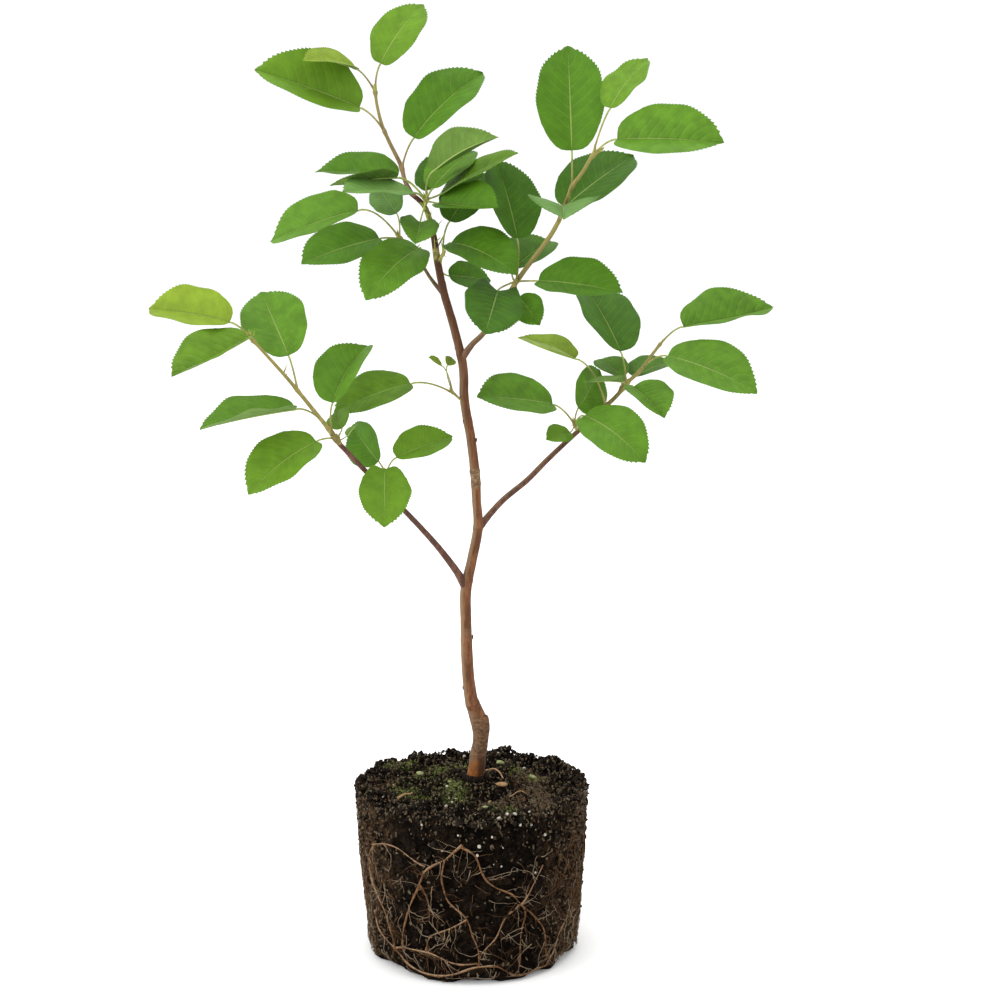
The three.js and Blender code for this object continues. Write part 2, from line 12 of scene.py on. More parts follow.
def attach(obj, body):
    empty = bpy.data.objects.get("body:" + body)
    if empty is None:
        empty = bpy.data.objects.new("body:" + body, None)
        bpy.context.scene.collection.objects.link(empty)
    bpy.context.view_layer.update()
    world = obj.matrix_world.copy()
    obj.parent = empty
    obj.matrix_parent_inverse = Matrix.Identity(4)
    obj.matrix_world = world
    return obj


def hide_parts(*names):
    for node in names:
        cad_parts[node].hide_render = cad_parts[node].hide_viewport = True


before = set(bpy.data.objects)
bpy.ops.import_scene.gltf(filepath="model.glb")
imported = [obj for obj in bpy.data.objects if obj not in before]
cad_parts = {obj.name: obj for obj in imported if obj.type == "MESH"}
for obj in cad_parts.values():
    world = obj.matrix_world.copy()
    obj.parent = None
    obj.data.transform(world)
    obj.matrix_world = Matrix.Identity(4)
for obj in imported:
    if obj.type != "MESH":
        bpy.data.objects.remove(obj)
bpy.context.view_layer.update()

bl_info = {
    "name": "Serviceberry Sapling",
    "version": (1, 0, 0),
    "blender": (4, 5, 0),
    "location": "3D View > Sidebar > Sapling",
    "description": "Builds a serviceberry sapling on its bare root ball, piece by piece",
    "category": "Add Mesh",
}

BODY = "root"

# Places and sizes below are in millimetres, as in the part's source, and pieces are built in metres
MM = 0.001

# Trunk from the soil to the first leaves of the top shoot: x, y, z and thickness
TRUNK = [
    (1.4, 4, 93.8, 9.8), (1.9, 4, 96.5, 9.3), (2.5, 4, 100, 9.0), (3.1, 4, 107, 8.8),
    (4.2, 4, 112.5, 8.3), (4.7, 4, 118, 8.7), (4.6, 4, 122.5, 9.9), (2.9, 4, 128, 9.0),
    (1.2, 4, 133, 8.1), (-0.4, 3, 138, 7.2), (-1.8, 2, 149, 6.5), (-2.6, 1, 161, 6.4),
    (-3.1, -1, 180, 5.9), (-3.1, -2, 200, 6.0), (0.1, -2, 216, 5.4), (3.4, -1, 234, 5.2),
    (2.6, 0, 248, 4.8), (2.1, 1, 259, 5.2), (-0.2, 2, 280, 5.0), (-3.7, 3, 301, 4.9),
    (-4.3, 4, 318, 4.7), (-9, 4, 339, 4.4), (-14.3, 3, 358, 4.1), (-17.4, 1, 374, 3.8),
    (-19.1, 0, 386, 3.3), (-21.2, 1, 395, 2.9), (-24.3, 3, 402.5, 2.7), (-31.5, 6, 409, 2.5),
]

# Boughs, each from the trunk's heart to where its shoot of leaves begins
BOUGHS = {
    "left_bough": [
        (-3.0, -2, 201.5, 5.4), (-7.6, -4.8, 210, 4.0), (-16.5, -12, 224, 3.3), (-25.1, -20, 236, 3.0),
        (-35.1, -29, 249, 2.8), (-53.2, -42, 271, 2.6), (-66.1, -51, 287, 2.6),
    ],
    "right_bough": [
        (3.0, -1, 232, 4.4), (9.0, 3, 239, 3.5), (16.6, 8, 246.5, 3.2), (29.4, 17, 255.5, 3.1),
        (40.2, 25, 265, 2.9), (51.7, 33, 274.5, 2.7), (71.6, 45.7, 290.3, 2.5),
    ],
    "upper_right_bough": [
        (-5.0, 4, 323, 4.2), (0.4, 1, 330.5, 3.1), (6.7, -5, 337.5, 2.8), (15.0, -12, 351.5, 2.7),
        (26.2, -21, 369.5, 2.5), (40.2, -31, 389.5, 2.4), (45.1, -34, 398.3, 2.3),
    ],
}

# Masses of leaves: the colour of the shoot's wood, its stem (x, y, z, thickness), and its leaves.
# A leaf is its place along the stem, stalk (length, heading, rise), blade (length, width), aim
# (heading, rise, roll), fold, droop and tint, and for a heart-shaped blade how far its lobes reach
# back, as a share of its length.
# The bright tint paints light on a blade, the blue tint paints the sheen and shade of a blade turned
# from the light, and the dark and deep tints paint shade
MASSES = {
    "top_shoot_leaves": (
        "pink",
        [
            (-30.4, 5.6, 408, 2.4), (-34.2, 8, 415, 2.3), (-36.3, 10, 422.5, 2.2),
            (-42.5, 12, 435, 2.0), (-46, 13.5, 443, 1.8), (-48.7, 15, 453.5, 1.6),
            (-49.7, 16, 461, 1.5),
        ],
        [
            (57, (15, 37, 77), (39, 26), (33, 49, 31), 10, 34, "bright"),
            (57, (16, -160, 49), (31, 21), (-143, 8, -24), 18, 24, "young"),
            (36, (18, -167, 44), (56, 40), (-169, 20, -47), 28, 5, "bright"),
            (15, (17, 1, 68), (52, 35), (32, 38, 27), 22, 30, "dark"),
        ],
    ),
    "heart_leaves": (
        "green",
        [
            (-23.9, 2.4, 402, 2.4), (-22.6, -1.8, 407.5, 2.6),
        ],
        [
            (4, (20, 158, 36), (43, 30), (168, 3, -22), 22, 12, "dark"),
            (4, (20, -160, 38), (36, 20), (-153, -5, 21), 10, 12, "bright"),
            (3, (12, -125, 28), (42, 29), (-143, 3, -16), 12, 8, "blue"),
            (5, (13, -121, -62), (27, 21), (-93, -18, -12), 22, 12, "mid", 0.17),
            (6, (18, -66, 55), (42, 26), (-34, 24, -23), 28, 30, "bright"),
            (5, (10, -63, 38), (36, 25), (50, 29, 8), 16, 20, "mid"),
            (5, (9.5, -10, 22), (46, 26), (-24, 26.5, 24), 10, 12, "bright"),
            (4, (11, -50, -4), (41, 28), (-44, 0, 31), 30, -8, "dark"),
            (6, (6, 65, 45), (23, 15), (97, 41, -39), 12, 12, "deep"),
        ],
    ),
    "collar_leaves": (
        "green",
        [
            (-17.4, 1, 374, 2.2), (-14.6, -3.2, 377.5, 2.2), (-13.6, -4.4, 380, 2.2),
        ],
        [
            (7, (19, 72, 58), (35, 25), (48, 41, 27), 17, 12, "deep"),
            (7, (9.5, -54, 40), (42, 31), (-35, -19, 27), 18, 40, "dark"),
            (5.5, (17, 75, -42), (26, 18), (35, -9, 51), 12, 12, "dark"),
        ],
    ),
    "side_shoot_leaves": (
        "brown",
        [
            (-14.2, 3, 356, 2.4), (-21.6, 8, 365, 1.9), (-26.2, 12, 372, 1.7), (-32, 15, 380, 1.5),
            (-38, 17, 385, 1.4),
        ],
        [
            (40, (13, 118, 75), (25, 18), (120, 30, -35), 15, 12, "blue"),
            (40, (27, 162, 31), (54, 34), (158, -19, -41), 23, 12, "mid"),
            (39, (12, -157, 3), (44, 33), (-155, -15, -29), 14, 15, "dark"),
            (29, (10, -72, 16), (44, 31), (-134, -32, -27), 14, 45, "mid"),
        ],
    ),
    "upper_right_spur_leaves": (
        "olive",
        [
            (21.8, -17.5, 362.5, 2.2), (23.6, -22, 366.5, 2.4),
        ],
        [
            (5, (22, 83, 78), (46, 32), (114, 55, 5), 24, 12, "deep"),
            (4, (12, 94, 30), (35, 27), (56, 20, 15), 24, 12, "dark"),
            (5, (13, -30, 4), (45, 30), (-24, -5, 34), 22, 14, "dark"),
            (5, (12, -147, -21), (39, 30), (-100, -26, -18), 13, 12, "deep", 0.2),
            (4, (8, -60, -60), (21, 16), (-55, -36, 40), 12, 12, "dark"),
        ],
    ),
    "upper_right_shoot_leaves": (
        "olive",
        [
            (44.4, -33.6, 397, 2.3), (49, -38, 409.6, 2.1), (51, -40, 415, 2.0), (56, -42, 422, 1.9),
            (61, -45, 430.5, 1.7), (64.4, -46, 433, 1.6),
        ],
        [
            (20, (18, 93, 80), (55, 36), (94, 66, -4), 20, 12, "dark"),
            (39, (25, -8, 70), (33, 24), (38, 45, 7), 12, 18, "bright"),
            (40, (15, -30, 31), (53, 36), (-20, -1, 45), 26, 12, "mid"),
            (6, (6, 78, 15), (49, 35), (35, 29, 22), 17, 13, "deep"),
            (6, (4, -89, 40), (38, 36), (-91, -5, -1), 22, 12, "blue"),
        ],
    ),
    "left_spur_leaves": (
        "olive",
        [
            (-42.6, -34.3, 257.6, 2.2), (-43, -37, 264.5, 1.9), (-43.6, -38, 270, 1.9),
        ],
        [
            (12, (9, 122, 37), (28, 22), (127, 33, -72), 18, 12, "dark"),
            (11, (11, 26, 56), (33, 24), (31, 14, 27), 20, 10, "bright"),
            (10, (8, -95, 42), (36, 26), (-88, -41, -5), 14, 12, "bright", 0.08),
        ],
    ),
    "left_shoot_leaves": (
        "olive",
        [
            (-65.2, -50.3, 285.8, 2.6), (-70.3, -54, 294, 2.3), (-77.7, -60, 305, 2.1),
            (-89.8, -67, 322, 1.8), (-101.9, -72, 337, 1.5), (-106.9, -74, 343, 1.4),
        ],
        [
            (74, (14, 174, 38), (45, 30), (157, 6, -35), 27, 12, "young"),
            (73, (5, -115, 28), (45, 32), (-143, -20, -13), 32, -10, "bright"),
            (39, (18, 141, 71), (45, 33), (117, 38, -22), 15, 12, "mid"),
            (12, (21, -152, 32), (48, 34), (-160, -9, -4), 25, 8, "mid"),
            (5, (12, -140, -1), (43, 32), (-151, -32, -27), 18, 30, "bright"),
            (9, (15, 82, 77), (41, 32), (62, 37, -1), 30, 32, "mid"),
            (5, (7, 60, 38), (19, 13), (100, 18, -31), 12, 12, "bright"),
            (3, (6, -7, 33), (10, 6), (-50, 38, 20), 26, 12, "blue"),
        ],
    ),
    "right_spur_leaves": (
        "olive",
        [
            (57, 37, 278.5, 2.2), (55, 33, 283.5, 2.4),
        ],
        [
            (6, (11, -55, 33), (43, 32), (-36, -29, 31), 13, 45, "mid"),
            (6, (17, -164, 43), (45, 32), (-153, 9, -36), 18, 12, "mid"),
            (6, (10, 68, 55), (32, 24), (64, 32, 68), 12, 12, "mid"),
            (5.5, (5, -143, -45), (19, 13), (-131, -4, -38), 14, 12, "bright"),
        ],
    ),
    "right_shoot_leaves": (
        "olive",
        [
            (70.6, 45, 289.5, 2.5), (79.3, 50, 297, 2.3), (83.2, 52, 302, 2.3), (91.6, 57, 309, 2.0),
            (98.8, 61, 318, 1.8), (103.3, 63, 323.5, 1.6),
        ],
        [
            (50, (16, 4, 37), (56, 38), (24, 8, 23), 30, -8, "mid"),
            (31, (18, -19, 30), (53, 38), (-23, -19, 29), 16, 24, "mid"),
            (20, (18, 169, 80), (51, 37), (116, 37, 3), 22, 12, "deep"),
            (18, (8, -50, 5), (32, 27), (-60, -23, 8), 28, 12, "mid"),
            (21, (9, 62, 13), (32, 24), (45, 10, 7), 17, 12, "dark"),
            (17, (9, 88, 34), (26, 18), (118, 14, -12), 18, 12, "mid"),
            (16, (7, -89, 45), (27, 17), (-140, 4, 19), 10, 12, "mid"),
            (3, (31, 157, 54), (36, 24), (150, 14, -3), 30, -8, "young"),
        ],
    ),
    "trunk_spur_leaves": (
        "olive",
        [
            (-3.3, 3, 299, 2.0), (-8.8, 0.2, 304.6, 1.6), (-11, -1.6, 307.6, 1.5),
        ],
        [
            (8, (26.5, -154, 16), (42, 32), (-165, -19, -24), 13, 18, "bright"),
            (10.5, (15.5, -150, 66), (9, 6), (-143, 30, -40), 14, 12, "young"),
            (10.5, (14, 170, 80), (8, 6), (75, 20, 37), 18, 12, "young"),
        ],
    ),
}

# Roots on the front of the ball: thickness, then places as degrees round from the front and height
FRONT_ROOTS = [
    (1.9, [(-56, 70), (-62, 62), (-63, 54), (-58, 43), (-51, 31), (-46, 20), (-45, 14)]),
    (1.3, [(-63, 30), (-58, 21), (-52, 17), (-45, 14)]),
    (1.2, [(-57, 69), (-48, 72), (-37, 71), (-23, 65)]),
    (1.8, [(-45, 14), (-37, 8), (-24, 4), (-10, 5), (3, 10), (13, 10), (24, 4), (44, 4)]),
    (1.6, [(-45, 14), (-35, 16), (-22, 17), (-9, 12), (3, 12)]),
    (1.7, [(-4, 79), (-12, 71), (-22, 63), (-28, 51), (-35, 36), (-38, 24), (-39, 14)]),
    (1.2, [(-26, 54), (-22, 45), (-22, 34)]),
    (1.4, [(-13, 70), (-15, 58), (-12, 48), (-3, 39), (1, 28), (3, 20), (4, 10)]),
    (1.2, [(-2, 37), (-12, 31), (-21, 25), (-25, 16)]),
    (1.6, [(-5, 78), (2, 73), (6, 63), (12, 55), (21, 49), (26, 43)]),
    (1.4, [(26, 43), (33, 36), (40, 26), (43, 16), (45, 4)]),
    (1.2, [(26, 43), (29, 36), (27, 26), (27, 12), (25, 4)]),
    (1.2, [(25, 43), (19, 37), (14, 27), (6, 18), (3, 10)]),
    (1.1, [(26, 43), (31, 51), (38, 63)]),
    (1.3, [(67, 30), (57, 22), (50, 12), (44, 4)]),
]

# Roots round the back grow down from a ring of starts and join one long root near the foot
BACK_STARTS = [100, 122, 144, 167, 190, 212, 236, 257]
BACK_TOP = 74
BACK_FOOT = 9

# Seeds of the random draws. The fine roots branch from the roots round the back, so they draw those
# once more by the seed of the main roots.
SEEDS = {"bits": 5, "roots": 17, "rootlets": 29, "blades": 3, "buds": 13}

# Sides of the ball's skin, and how far its rim drops and draws in
BALL_SIDES = 288
RIM_DROP = 2.5
RIM_INSET = 2.4

# Unevenness of the wall: rise, waves round the ball, waves along its height and start
WALL_WAVES = [(0.4, 3, 0.07, 1.3), (0.24, 7, -0.11, 4.1), (0.16, 13, 0.19, 2.2)]

# Unevenness of the soil's top: rise, waves along x, waves along y and start
SOIL_WAVES = [
    (0.6, 0.17, 0.15, 0.2), (0.6, 0.17, -0.15, 1.0), (0.8, 0.33, -0.21, 2.0), (0.55, 0.41, 0.28, 2.7),
]

# Layers of crumbs on the soil's skin: how many stand side by side in a crumb's size, and their share
# of the rise
SOIL_LAYERS = ((0.3, 0.7), (0.62, 1.0), (1.7, 0.75))

# Crumbs of soil standing up round the rim: x, y, rise and spread
CLODS = [
    (-49, 36, 4.2, 7), (-60, 2, 4.6, 6), (-14, 56, 3.4, 6), (22, 52, 4.0, 9), (47, 36, 3.2, 7),
    (-57, -8, 2.4, 6), (38, -40, 1.8, 9),
]

# Smaller rises and dips of the soil near the rim: x, y, rise and spread
RIM_LUMPS = [
    (-22, 50, -1.8, 10), (-6, 52, -1.5, 7), (26, 53, -1.6, 5), (12, 58, 2.0, 5), (-61, 8, 1.6, 4),
    (-55, 20, 3.0, 5), (-30, 50, 2.6, 5), (4, 58, 2.4, 5), (33, 47, 2.2, 5), (57, 14, 2.8, 6),
    (50, -30, 1.6, 7), (-40, -44, 1.4, 8),
]

# Soil broken off the ball's lower edge: degrees round from the front, half width in degrees, depth
# and height
CHIPS = [
    (-52, 13, 5.0, 8.0), (-33, 6, 2.5, 4.0), (-2, 6, 5.0, 4.5), (9, 5, 4.0, 3.4), (40, 7, 4.0, 5.0),
    (66, 12, 5.0, 7.0), (110, 9, 3.5, 5.0), (150, 12, 5.0, 6.0), (190, 8, 3.0, 4.0),
    (228, 13, 4.5, 6.0), (276, 9, 3.5, 5.0),
]

# Moss and brown fibre on the soil's top: kind, from x and y, to x and y, half width
PATCHES = [
    ("mossy", -30, 13, -5, 38, 6), ("mossy", -12, -3, -8, -24, 6), ("mossy", -40, -5, -28, -20, 5),
    ("mossy", 20, 30, 36, 8, 4), ("mossy", 12, -40, 20, -38, 4), ("mossy", -44, 30, -36, 38, 5),
    ("fibrous", 31, 15, 38, -45, 6), ("fibrous", 24, -28, 8, -36, 4), ("fibrous", -50, -8, -44, 8, 4),
]

# Loose stuff strewn over the soil: where it lies, pieces to a square metre, least and greatest size,
# how rough a piece is, seed and finish
CRUMBS = {
    "rim_lumps": ("rimmed", 1500.0, (2.0, 1.7, 1.4), (4.2, 3.2, 2.8), 7.0, 67, "dark"),
    "rim_clods": ("rimmed", 9000.0, (1.0, 0.9, 0.8), (2.8, 2.2, 2.0), 5.0, 61, "dark"),
    "soil_clods": ("density", 16000.0, (0.8, 0.7, 0.5), (2.4, 1.7, 1.4), 4.2, 41, "dark"),
    "soil_crumbs": ("density", 90000.0, (0.3, 0.3, 0.2), (1.4, 1.0, 0.8), 2.2, 3, "dark"),
    "grey_crumbs": ("density", 90000.0, (0.2, 0.2, 0.15), (1.6, 0.8, 0.7), 2.4, 5, "grey"),
    "brown_crumbs": ("density", 42000.0, (0.3, 0.3, 0.2), (1.6, 0.7, 0.5), 0.9, 11, "brown"),
    "fibre_crumbs": ("fibrous", 120000.0, (0.3, 0.2, 0.2), (2.0, 0.5, 0.45), 0.9, 13, "brown"),
    "dry_crumbs": ("fibrous", 90000.0, (0.3, 0.2, 0.2), (1.4, 0.8, 0.6), 1.4, 17, "grey"),
    "moss_crumbs": ("mossy", 420000.0, (0.3, 0.2, 0.2), (1.0, 0.6, 0.5), 1.0, 23, "moss"),
    "pale_grains": ("density", 2400.0, (0.2, 0.2, 0.15), (0.7, 0.5, 0.45), 0.5, 31, "pale"),
}

# Pale grains pressed into the soil: degrees round from the front, height and size
WALL_GRAINS = [
    (24, 88, 1.6), (30, 87, 1.4), (4, 78, 2.2), (3, 73, 1.8), (38, 80, 1.7), (10, 83, 1.4),
    (-24, 88, 1.3), (-6, 84, 1.2), (15, 66, 1.2), (-14, 75, 1.1), (33, 60, 1.3),
]

# Bits lying on the soil: the shares of its size that a kind is wide, deep and high
BIT_SHAPES = {"grain": (1.1, 0.85, 0.7), "moss": (1.1, 0.8, 0.45), "husk": (1.5, 0.7, 0.3)}

# Each bit's kind, x, y and size
TOP_BITS = [
    ("moss", -28.7, 13.0, 5.0), ("moss", 15.0, 36.6, 5.2), ("moss", 33.0, 11.2, 5.0),
    ("moss", -12.0, -2.9, 2.2), ("moss", -8.4, -23.5, 2.0), ("husk", 16.1, -8.1, 5.0),
    ("husk", 9.5, -27.0, 3.0), ("grain", -5.2, 51.6, 2.2), ("grain", 13.9, 49.7, 1.8),
    ("grain", 28.2, 25.6, 2.0), ("grain", -13.5, -8.1, 1.9), ("grain", 14.6, -56.0, 2.7),
    ("grain", 18.8, -56.2, 2.4), ("grain", 22.6, -55.0, 2.2), ("grain", 30.5, -48.4, 1.8),
    ("moss", 7.5, -44.0, 3.0), ("grain", -13.4, -33.6, 2.2), ("grain", -10.4, -28.6, 1.7),
]

# Sticks and dry stalks lying on the soil: the way each takes and its radius
STICKS = [
    ([(-39.2, -23.5), (-35.6, -18.6), (-32.1, -13.3)], 0.7),
    ([(7.3, 27.3), (11.5, 23), (14.6, 14), (16.6, 2.3)], 0.5),
    ([(-46, 4), (-43, -1), (-42, -8)], 0.3),
    ([(20, -25), (26, -20), (30, -21)], 0.28),
]

# Crumbs heaped round the trunk's foot
FOOT_CRUMBS = 34

# How many slim young stipules crowd round the tip of a mass's stem
STIPULES = {"heart_leaves": 3, "collar_leaves": 4, "left_shoot_leaves": 4, "right_spur_leaves": 4}

# Slim stipules and bud stalks round the trunk's tip: height of the foot, heading, rise and length
CROWN_STIPULES = [
    (386, 200, 68, 11), (388, 160, 55, 9), (390, -30, 50, 8), (384, -60, 30, 7), (392, 230, 40, 7),
    (382, 10, 62, 9), (395, -80, 62, 7), (398, 120, 35, 6), (380, -100, 70, 8), (377, -20, 35, 5),
]

# Side buds on the trunk's bare length: height, heading and length
TRUNK_BUDS = [
    (173, 10, 2.8), (144, -170, 2.2), (226, 70, 2.2), (279, -15, 2.4), (289, 200, 2.2), (327, 170, 2.0),
]

# Stub of an old shoot cut off at the trunk's swelling: x, y, z and thickness
TRUNK_STUB = [
    (4.2, 3.6, 116.5, 6.6), (6.2, 3, 121.5, 6.6), (6.9, 2.6, 126, 4.8), (7, 2.4, 128.8, 3.4),
    (6.9, 2.3, 129.9, 1.4),
]

# Ring scars on the trunk, where older leaves stood: height and how far they stand out
TRUNK_SCARS = [
    (112, 0.1), (136, 0.25), (172, 0.18), (205, 0.2), (233, 0.2), (256.5, 0.25), (263, 0.35),
    (290, 0.2), (325, 0.2), (362, 0.2),
]

# Blade outline: where it is widest, and how full it is towards the base and the tip
WIDEST = 0.47
FULL_BASE = 0.52
FULL_TIP = 0.8

# Where a blade's teeth start, the columns of points across it, and its side veins on either side
FIRST_TOOTH = 0.2
COLUMNS = (-1.0, -0.8, -0.5, -0.22, 0.0, 0.22, 0.5, 0.8, 1.0)
SIDE_VEINS = 10.0

# How far the lobes at a blade's base reach back past its stalk where a row doesn't say, as a share of
# its length, and how far a blade's sharp tip stands out past its outline
LOBES = 0.03
TIP = 1.1

# How straight a stalk runs into its blade
LEAD = 0.4

# Studio in metres: the lamps' places, widths and powers, what they aim at, the world's light, how far
# the floor reaches, and the camera's place and pitch
LAMPS = {
    "key_light": ((-2.4, -0.9, 1.2), 3.0, 50.0),
    "top_light": ((0.2, 0.3, 2.2), 2.0, 22.0),
    "fill_light": ((-0.3, -2.4, 2.2), 2.0, 12.0),
}
LAMP_AIM = (0.0, 0.0, 0.25)
WORLD_LIGHT = 1.09
FLOOR_REACH = 60.0
CAMERA_PLACE = (0.015, -1.224, 0.486)
CAMERA_PITCH = 79.0


def linear(code):
    """The scene colour of a screen colour written as six hexadecimal digits."""
    parts = [int(code[index : index + 2], 16) / 255 for index in (0, 2, 4)]
    return tuple(part / 12.92 if part <= 0.04045 else ((part + 0.055) / 1.055) ** 2.4 for part in parts)


def length_setting(name, about, default):
    """A length that a user may change, kept in metres."""
    return FloatProperty(name=name, description=about, default=default * MM, unit="LENGTH", precision=5)


def count_setting(name, about, default, least, most):
    """A number of things that a user may change."""
    return IntProperty(name=name, description=about, default=default, min=least, max=most)


def colour_setting(name, about, code):
    """A colour that a user may change."""
    return FloatVectorProperty(
        name=name, description=about, default=linear(code), subtype="COLOR", min=0, max=1
    )


class SaplingSizes(bpy.types.PropertyGroup):
    """Sizes of the sapling's pieces."""

    ball_height: length_setting("Ball height", "Height of the root ball at its rim", 91)
    foot_radius: length_setting("Foot radius", "Radius of the root ball at its foot", 56.2)
    rim_radius: length_setting("Rim radius", "Radius of the root ball at its rim", 62.6)
    edge_round: length_setting("Lower edge", "Rounding of the root ball's lower edge", 2.6)
    crumb_rise: length_setting("Crumb rise", "How far crumbs of soil stand out of the ball", 2.4)
    crumb_size: length_setting("Crumb size", "Width of a crumb of soil", 4.0)
    bark_relief: length_setting("Bark relief", "How far the bark is raised between its furrows", 0.16)
    blade_thickness: length_setting("Blade thickness", "Thickness of a leaf blade", 0.36)
    tooth: length_setting("Tooth", "How far a tooth stands out of a leaf's edge", 0.7)
    stalk_thickness: length_setting("Stalk thickness", "Thickness of a leaf stalk at its middle", 0.95)
    teeth: count_setting("Teeth", "Teeth along each side of a leaf", 24, 4, 40)
    rootlets: count_setting("Rootlets", "Fine roots on the ball", 640, 0, 2000)


class SaplingFinishes(bpy.types.PropertyGroup):
    """Colours of the sapling's finishes."""

    leaf_mid: colour_setting("Leaf", "Upper side of most leaves", "4f7719")
    leaf_bright: colour_setting("Bright leaf", "Upper side of leaves in full light", "567a18")
    leaf_young: colour_setting("Young leaf", "Upper side of the newest leaves", "708820")
    leaf_blue: colour_setting("Blue leaf", "Upper side of leaves turned from the light", "577b38")
    # The dark and deep leaf colours are painted shade: darker copies of the leaf green for leaves that
    # stand in shade
    leaf_dark: colour_setting("Dark leaf", "Upper side of older leaves", "436b0f")
    leaf_deep: colour_setting("Deep leaf", "Upper side of the oldest leaves", "365c0a")
    leaf_under: colour_setting("Leaf underside", "Underside of the leaves", "62803a")
    leaf_vein: colour_setting("Vein", "Midribs and side veins", "93a85c")
    trunk_bark: colour_setting("Trunk bark", "Bark of the trunk", "6c442a")
    trunk_top: colour_setting("Upper bark", "Bark towards the trunk's tip and in its scars", "472c1e")
    bark_worn: colour_setting("Worn bark", "Inner bark showing at the trunk's foot", "7c4a1e")
    # The pale bark colour serves both for dry outer skin left in patches and for the painted highlight
    # on the side of the bark that faces the key lamp
    bark_pale: colour_setting("Pale bark", "Dry outer skin left on the bark in patches", "80694f")
    bark_knot: colour_setting("Knot", "Greyer bark on the trunk's swelling", "624b35")
    bough_bark: colour_setting("Bough bark", "Bark of the boughs", "5d3f33")
    shoot_pink: colour_setting("Pink shoot", "Bark of the top shoot", "80624f")
    shoot_olive: colour_setting("Olive shoot", "Bark of the other shoots", "8a8048")
    shoot_green: colour_setting("Green shoot", "Bark of the newest shoots", "8e9046")
    stalk_pink: colour_setting("Pink stalk", "Leaf stalks on the top shoot", "917a52")
    stalk_olive: colour_setting("Olive stalk", "Leaf stalks on the other shoots", "90894e")
    stalk_green: colour_setting("Green stalk", "Leaf stalks on the newest shoots", "a0aa56")
    bud: colour_setting("Bud", "Buds on the bark", "503527")
    bud_green: colour_setting("Green bud", "Buds and stipules on the shoots", "8f9548")
    soil: colour_setting("Soil", "Damp dark soil", "18120d")
    soil_grey: colour_setting("Dry soil", "Drier grey-brown crumbs of soil", "554c3c")
    soil_light: colour_setting("Soil fibre", "Fibrous brown soil", "4d3b2a")
    moss: colour_setting("Moss", "Moss on the soil", "5a6034")
    husk: colour_setting("Husk", "Bits of bark and husk", "8f7250")
    lichen: colour_setting("Lichen", "Pale lumps among the moss", "8e9266")
    grain: colour_setting("Grain", "Pale mineral grains", "a8a297")
    root: colour_setting("Root", "Main roots on the ball", "64472d")
    # This colour is a painted highlight, laid where the main roots face up and forward towards the
    # lamps
    root_painted_highlight: colour_setting("Pale root", "Dry skin on the upper side of the main roots", "957b61")
    rootlet: colour_setting("Rootlet", "Fine roots on the ball", "80705c")
    floor: colour_setting("Floor", "Studio floor", "fefefe")


def sizes():
    """The sizes in use."""
    return bpy.context.scene.sapling_sizes


def finishes():
    """The finishes in use."""
    return bpy.context.scene.sapling_finishes


# Curves and frames


def spline_point(points, share):
    """A point on the centripetal curve through the points."""
    place = (len(points) - 1) * share
    index = min(int(place), len(points) - 2)
    weight = place - index
    before = points[index - 1] if index > 0 else points[0] * 2 - points[1]
    after = points[index + 2] if index + 2 < len(points) else points[-1] * 2 - points[-2]
    first, second = points[index], points[index + 1]
    pairs = ((before, first), (first, second), (second, after))
    near, gap, far = (max((b - a).length, 1e-4) ** 0.5 for a, b in pairs)
    slope = (second - first) / gap
    lead = ((first - before) / near - (second - before) / (near + gap) + slope) * gap
    tail = (slope - (after - first) / (gap + far) + (after - second) / far) * gap
    square = -3 * first + 3 * second - 2 * lead - tail
    cube = 2 * first - 2 * second + lead + tail
    return first + lead * weight + square * weight**2 + cube * weight**3


def spline(rows, steps):
    """Points along the curve through rows of x, y, z, thickness, and the radius at each."""
    centres = [Vector(row[:3]) for row in rows]
    thick = [row[3] for row in rows]
    points, radii = [], []
    for step in range(steps + 1):
        share = step / steps
        place = share * (len(rows) - 1)
        index = min(int(place), len(rows) - 2)
        points.append(spline_point(centres, share))
        radii.append((thick[index] + (thick[index + 1] - thick[index]) * (place - index)) / 2)
    return points, radii


def point_at(points, distance):
    """The point at a distance along a run of points."""
    for first, second in zip(points, points[1:]):
        gap = (second - first).length
        if distance <= gap:
            return first.lerp(second, distance / gap)
        distance -= gap
    return points[-1].copy()


def direction(heading, rise):
    """A unit vector from its heading and rise in degrees."""
    heading, rise = math.radians(heading), math.radians(rise)
    flat = math.cos(rise)
    return Vector((flat * math.cos(heading), flat * math.sin(heading), math.sin(rise)))


def blade_axes(aim):
    """A blade's own directions: along, up and right."""
    heading, rise, roll = aim
    along = direction(heading, rise)
    up = Quaternion(along, math.radians(roll)) @ direction(heading, rise + 90)
    return along, up, along.cross(up)


def midrib(neck, axes, length, droop, share):
    """The point, the direction along and the direction up at a share of a drooping midrib."""
    along, up, _ = axes
    bend = math.radians(1 if abs(droop) < 1 else droop)
    size = length * bend / 2 / math.sin(bend / 2)
    slope = bend / 2 - bend * share
    forward = (math.sin(bend / 2) - math.sin(slope)) / bend
    upward = (math.cos(slope) - math.cos(bend / 2)) / bend
    point = neck + along * size * forward + up * size * upward
    flat, steep = math.cos(slope), math.sin(slope)
    return point, along * flat + up * steep, up * flat - along * steep


def part_way(value, low, high):
    """How far a value lies from low to high, from nought to one."""
    return min(max((value - low) / (high - low), 0), 1)


def wall_radius(turn, height):
    """Radius of the ball's wall in millimetres, at an angle round from the front and a height."""
    own = sizes()
    widening = (own.rim_radius - own.foot_radius) * height * MM / own.ball_height
    waves = (rise * math.sin(a * turn + b * height + start) for rise, a, b, start in WALL_WAVES)
    return (own.foot_radius + widening) / MM + sum(waves)


